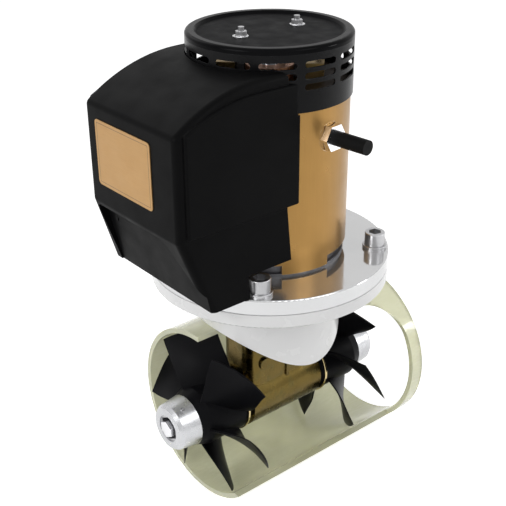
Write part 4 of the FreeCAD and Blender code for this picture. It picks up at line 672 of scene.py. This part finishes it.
class THRUSTER_OT_propellers(bpy.types.Operator):
    """Finish both propellers and their nose cones, and add the nose cones' bolts and grub screws"""
    bl_idname = "thruster.propellers"
    bl_label = "Propellers"

    def execute(self, context):
        dress(moulded_finish("blade_plastic", context.scene.thruster_colours.blades, 0.34,
                             grain=1600.0, depth=0.00004),
              "propeller_near", "propeller_far")
        dress(metal_finish("cast_zinc", (0.54, 0.545, 0.56), 0.28, grain=600.0, depth=0.00008),
              "nose_cone_near", "nose_cone_far")
        self.end_bolts()
        self.grub_screws()
        return {"FINISHED"}

    def end_bolts(self):
        """Hexagon bolt head inside the well of each nose cone."""
        steel = metal_finish("bolt_head", (0.78, 0.78, 0.80), 0.18)
        shape = bmesh.new()
        for side_name, sign in (("near", -1.0), ("far", 1.0)):
            low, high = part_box("nose_cone_" + side_name)
            end = low.y if sign < 0.0 else high.y
            seat = end - sign * BOLT_SEAT
            head = bmesh.ops.create_circle(shape, cap_ends=True, segments=6,
                                           radius=BOLT_FLATS / math.sqrt(3.0))["verts"]
            face = head[0].link_faces[0]
            grown = bmesh.ops.extrude_face_region(shape, geom=[face], use_keep_orig=True)["geom"]
            top = [item for item in grown if isinstance(item, bmesh.types.BMVert)]
            bmesh.ops.translate(shape, verts=top, vec=(0.0, 0.0, BOLT_HEIGHT))
            rim = [edge for edge in shape.edges if all(vert in top for vert in edge.verts)]
            soft = bmesh.ops.bevel(shape, geom=rim, offset=BOLT_ROUNDING, segments=2, profile=0.5,
                                   affect="EDGES", material=-1)["verts"]
            lie = Matrix.Rotation(math.radians(-90.0 * sign), 4, "X")
            place = Matrix.Translation((0.0, seat, 0.0)) @ lie
            bmesh.ops.transform(shape, matrix=place, verts=list(set(head + soft)))
        add_piece("nose_bolts", finished_mesh("nose_bolts", shape), "propeller_line",
                  steel)

    def grub_screws(self):
        """Socket grub screw let into the slope of each nose cone."""
        dark = metal_finish("grub_screw", (0.30, 0.30, 0.31), 0.25)
        shape = bmesh.new()
        for side_name, sign in (("near", -1.0), ("far", 1.0)):
            low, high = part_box("nose_cone_" + side_name)
            along = (low.y + high.y) / 2.0
            lie = Matrix.Rotation(-math.radians(GRUB_ANGLE), 4, "Y")
            place = lie @ Matrix.Translation((GRUB_RADIUS, along, 0.0)) @ Matrix.Rotation(
                math.radians(90.0), 4, "Y")
            turned_ring(GRUB_OUTLINE, GRUB_STEPS, shape, place)
        add_piece("grub_screws", finished_mesh("grub_screws", shape), "propeller_line",
                  dark)


class THRUSTER_OT_fasteners(bpy.types.Operator):
    """Finish the screws, washers, nuts, bearings, gears and shafts"""
    bl_idname = "thruster.fasteners"
    bl_label = "Fasteners and shafts"

    def execute(self, context):
        steel = metal_finish("stainless_steel", (0.46, 0.46, 0.47), 0.34)
        dress(steel, "bracket_screws", "bracket_washers", "cap_studs", "cap_nuts", "leg_screws",
              "terminal_stud", "prop_nut_near", "prop_nut_far")
        ground = metal_finish("ground_steel", (0.58, 0.58, 0.60), 0.2, grain=1800.0)
        dress(ground, *[name for name in NODES if "bearing" in name and name != "bearing_carrier"])
        dress(ground, "armature_shaft", "coupling_upper", "coupling_lower", "pinion_shaft",
              "pinion_gear", "prop_shaft", "crown_gear", "drive_pins")
        return {"FINISHED"}


LAMP_AIM = (0.0, 0.0, 0.16)
LAMPS = (   # name, place, side of the square, watts
    ("key_lamp", (2.0, 0.5, 1.8), 1.1, 12.0),
    ("front_lamp", (0.1, -2.3, 1.3), 1.2, 25.0),
    ("back_lamp", (-2.0, -0.2, 1.9), 1.4, 6.0),
    ("low_lamp", (1.3, 1.55, 0.6), 0.4, 7.0),
)
FLOOR_GLOW = 0.66
CAMERA_PLACE = (0.701453, -0.598784, 0.627733)


def soft_lamp(name, place, aim, side, power):
    """Hangs a square lamp that points at aim."""
    lamp = bpy.data.lights.new(name, "AREA")
    lamp.shape = "SQUARE"
    lamp.size = side
    lamp.energy = power
    holder = bpy.data.objects.new(name, lamp)
    holder.location = place
    holder.rotation_euler = (Vector(aim) - Vector(place)).to_track_quat("-Z", "Y").to_euler()
    bpy.context.scene.collection.objects.link(holder)


def seen_factor(tree):
    """1 for rays that a viewer follows straight, off gloss or through glass."""
    path = tree.nodes.new("ShaderNodeLightPath")
    total = path.outputs["Is Camera Ray"]
    for name in ("Is Glossy Ray", "Is Transmission Ray"):
        highest = tree.nodes.new("ShaderNodeMath")
        highest.operation = "MAXIMUM"
        tree.links.new(total, highest.inputs[0])
        tree.links.new(path.outputs[name], highest.inputs[1])
        total = highest.outputs["Value"]
    return total


class THRUSTER_OT_stage(bpy.types.Operator):
    """Lay the floor, hang the lamps and place the camera"""
    bl_idname = "thruster.stage"
    bl_label = "Stage"

    def execute(self, context):
        stage = context.scene.thruster_stage
        self.floor(stage)
        self.sky(context.scene, stage)
        for name, place, side, power in LAMPS:
            soft_lamp(name, place, LAMP_AIM, side, power)
        self.camera(context.scene, stage)
        context.scene.view_settings.view_transform = "Standard"
        return {"FINISHED"}

    def floor(self, stage):
        low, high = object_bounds()
        shape = bmesh.new()
        bmesh.ops.create_grid(shape, x_segments=1, y_segments=1, size=stage.floor_size / 2.0)
        bmesh.ops.translate(shape, verts=shape.verts, vec=(0.0, 0.0, low.z - stage.floor_gap))
        mesh = bpy.data.meshes.new("floor")
        shape.to_mesh(mesh)
        shape.free()
        floor = bpy.data.objects.new("floor", mesh)
        bpy.context.scene.collection.objects.link(floor)
        paint = Finish("pale_floor")
        tree = paint.tree
        grain = paint.tint(paint.spread(paint.noise(3.0), 0.0, 1.0), (0.88, 0.88, 0.88),
                           (0.90, 0.90, 0.90))
        paint.done(grain, 0.6)
        glow = paint.node("ShaderNodeEmission")
        glow.inputs["Color"].default_value = (1.0, 1.0, 1.0, 1.0)
        paint.feed(glow.inputs["Strength"], paint.math("MULTIPLY", seen_factor(tree), FLOOR_GLOW))
        both = paint.node("ShaderNodeAddShader")
        paint.feed(both.inputs[0], paint.surface.outputs["BSDF"])
        paint.feed(both.inputs[1], glow.outputs["Emission"])
        paint.feed(tree.nodes["Material Output"].inputs["Surface"], both.outputs["Shader"])
        mesh.materials.append(paint.material)
        floor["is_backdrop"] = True

    def sky(self, scene, stage):
        world = bpy.data.worlds.new("studio")
        world.use_nodes = True
        tree = world.node_tree
        light = tree.nodes["Background"]
        light.inputs["Color"].default_value = (1.0, 1.0, 1.0, 1.0)
        level = tree.nodes.new("ShaderNodeMapRange")
        tree.links.new(seen_factor(tree), level.inputs["Value"])
        level.inputs["To Min"].default_value = stage.sky
        level.inputs["To Max"].default_value = 1.0
        tree.links.new(level.outputs["Result"], light.inputs["Strength"])
        scene.world = world

    def camera(self, scene, stage):
        lens = bpy.data.cameras.new("camera")
        lens.lens = stage.lens
        lens.sensor_width = 36.0
        lens.clip_end = 60.0
        camera = bpy.data.objects.new("camera", lens)
        a, e = stage.azimuth, stage.elevation
        back = Vector((math.sin(a) * math.cos(e), -math.cos(a) * math.cos(e), math.sin(e)))
        camera.rotation_mode = "QUATERNION"
        turn = (-back).to_track_quat("-Z", "Y").to_matrix() @ Matrix.Rotation(stage.roll, 3, "Z")
        camera.rotation_quaternion = turn.to_quaternion()
        camera.location = CAMERA_PLACE
        scene.collection.objects.link(camera)
        scene.camera = camera


class THRUSTER_PT_panel(bpy.types.Panel):
    """Lists the pieces of the thruster and their settings"""
    bl_idname = "THRUSTER_PT_panel"
    bl_label = "Bow thruster"
    bl_space_type = "VIEW_3D"
    bl_region_type = "UI"
    bl_category = "Thruster"

    def draw(self, context):
        for group in (context.scene.thruster_colours, context.scene.thruster_stage):
            box = self.layout.box()
            for name in group.__annotations__:
                box.prop(group, name)
        for operator in OPERATORS:
            self.layout.operator(operator.bl_idname)


OPERATORS = (
    THRUSTER_OT_tunnel, THRUSTER_OT_flanges, THRUSTER_OT_motor, THRUSTER_OT_cap,
    THRUSTER_OT_cover, THRUSTER_OT_leg, THRUSTER_OT_propellers, THRUSTER_OT_fasteners,
    THRUSTER_OT_stage,
)
GROUPS = {"thruster_colours": ThrusterColours, "thruster_stage": ThrusterStage}


def register():
    for kind in (*GROUPS.values(), *OPERATORS, THRUSTER_PT_panel):
        bpy.utils.register_class(kind)
    for name, group in GROUPS.items():
        setattr(bpy.types.Scene, name, bpy.props.PointerProperty(type=group))


def unregister():
    for name in GROUPS:
        delattr(bpy.types.Scene, name)
    for kind in (THRUSTER_PT_panel, *reversed(OPERATORS), *reversed(GROUPS.values())):
        bpy.utils.unregister_class(kind)


def main():
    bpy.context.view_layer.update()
    register()
    bpy.ops.thruster.tunnel()
    bpy.ops.thruster.flanges()
    bpy.ops.thruster.motor()
    bpy.ops.thruster.cap()
    bpy.ops.thruster.cover()
    bpy.ops.thruster.leg()
    bpy.ops.thruster.propellers()
    bpy.ops.thruster.fasteners()
    bpy.ops.thruster.stage()


if __name__ == "__main__":
    main()
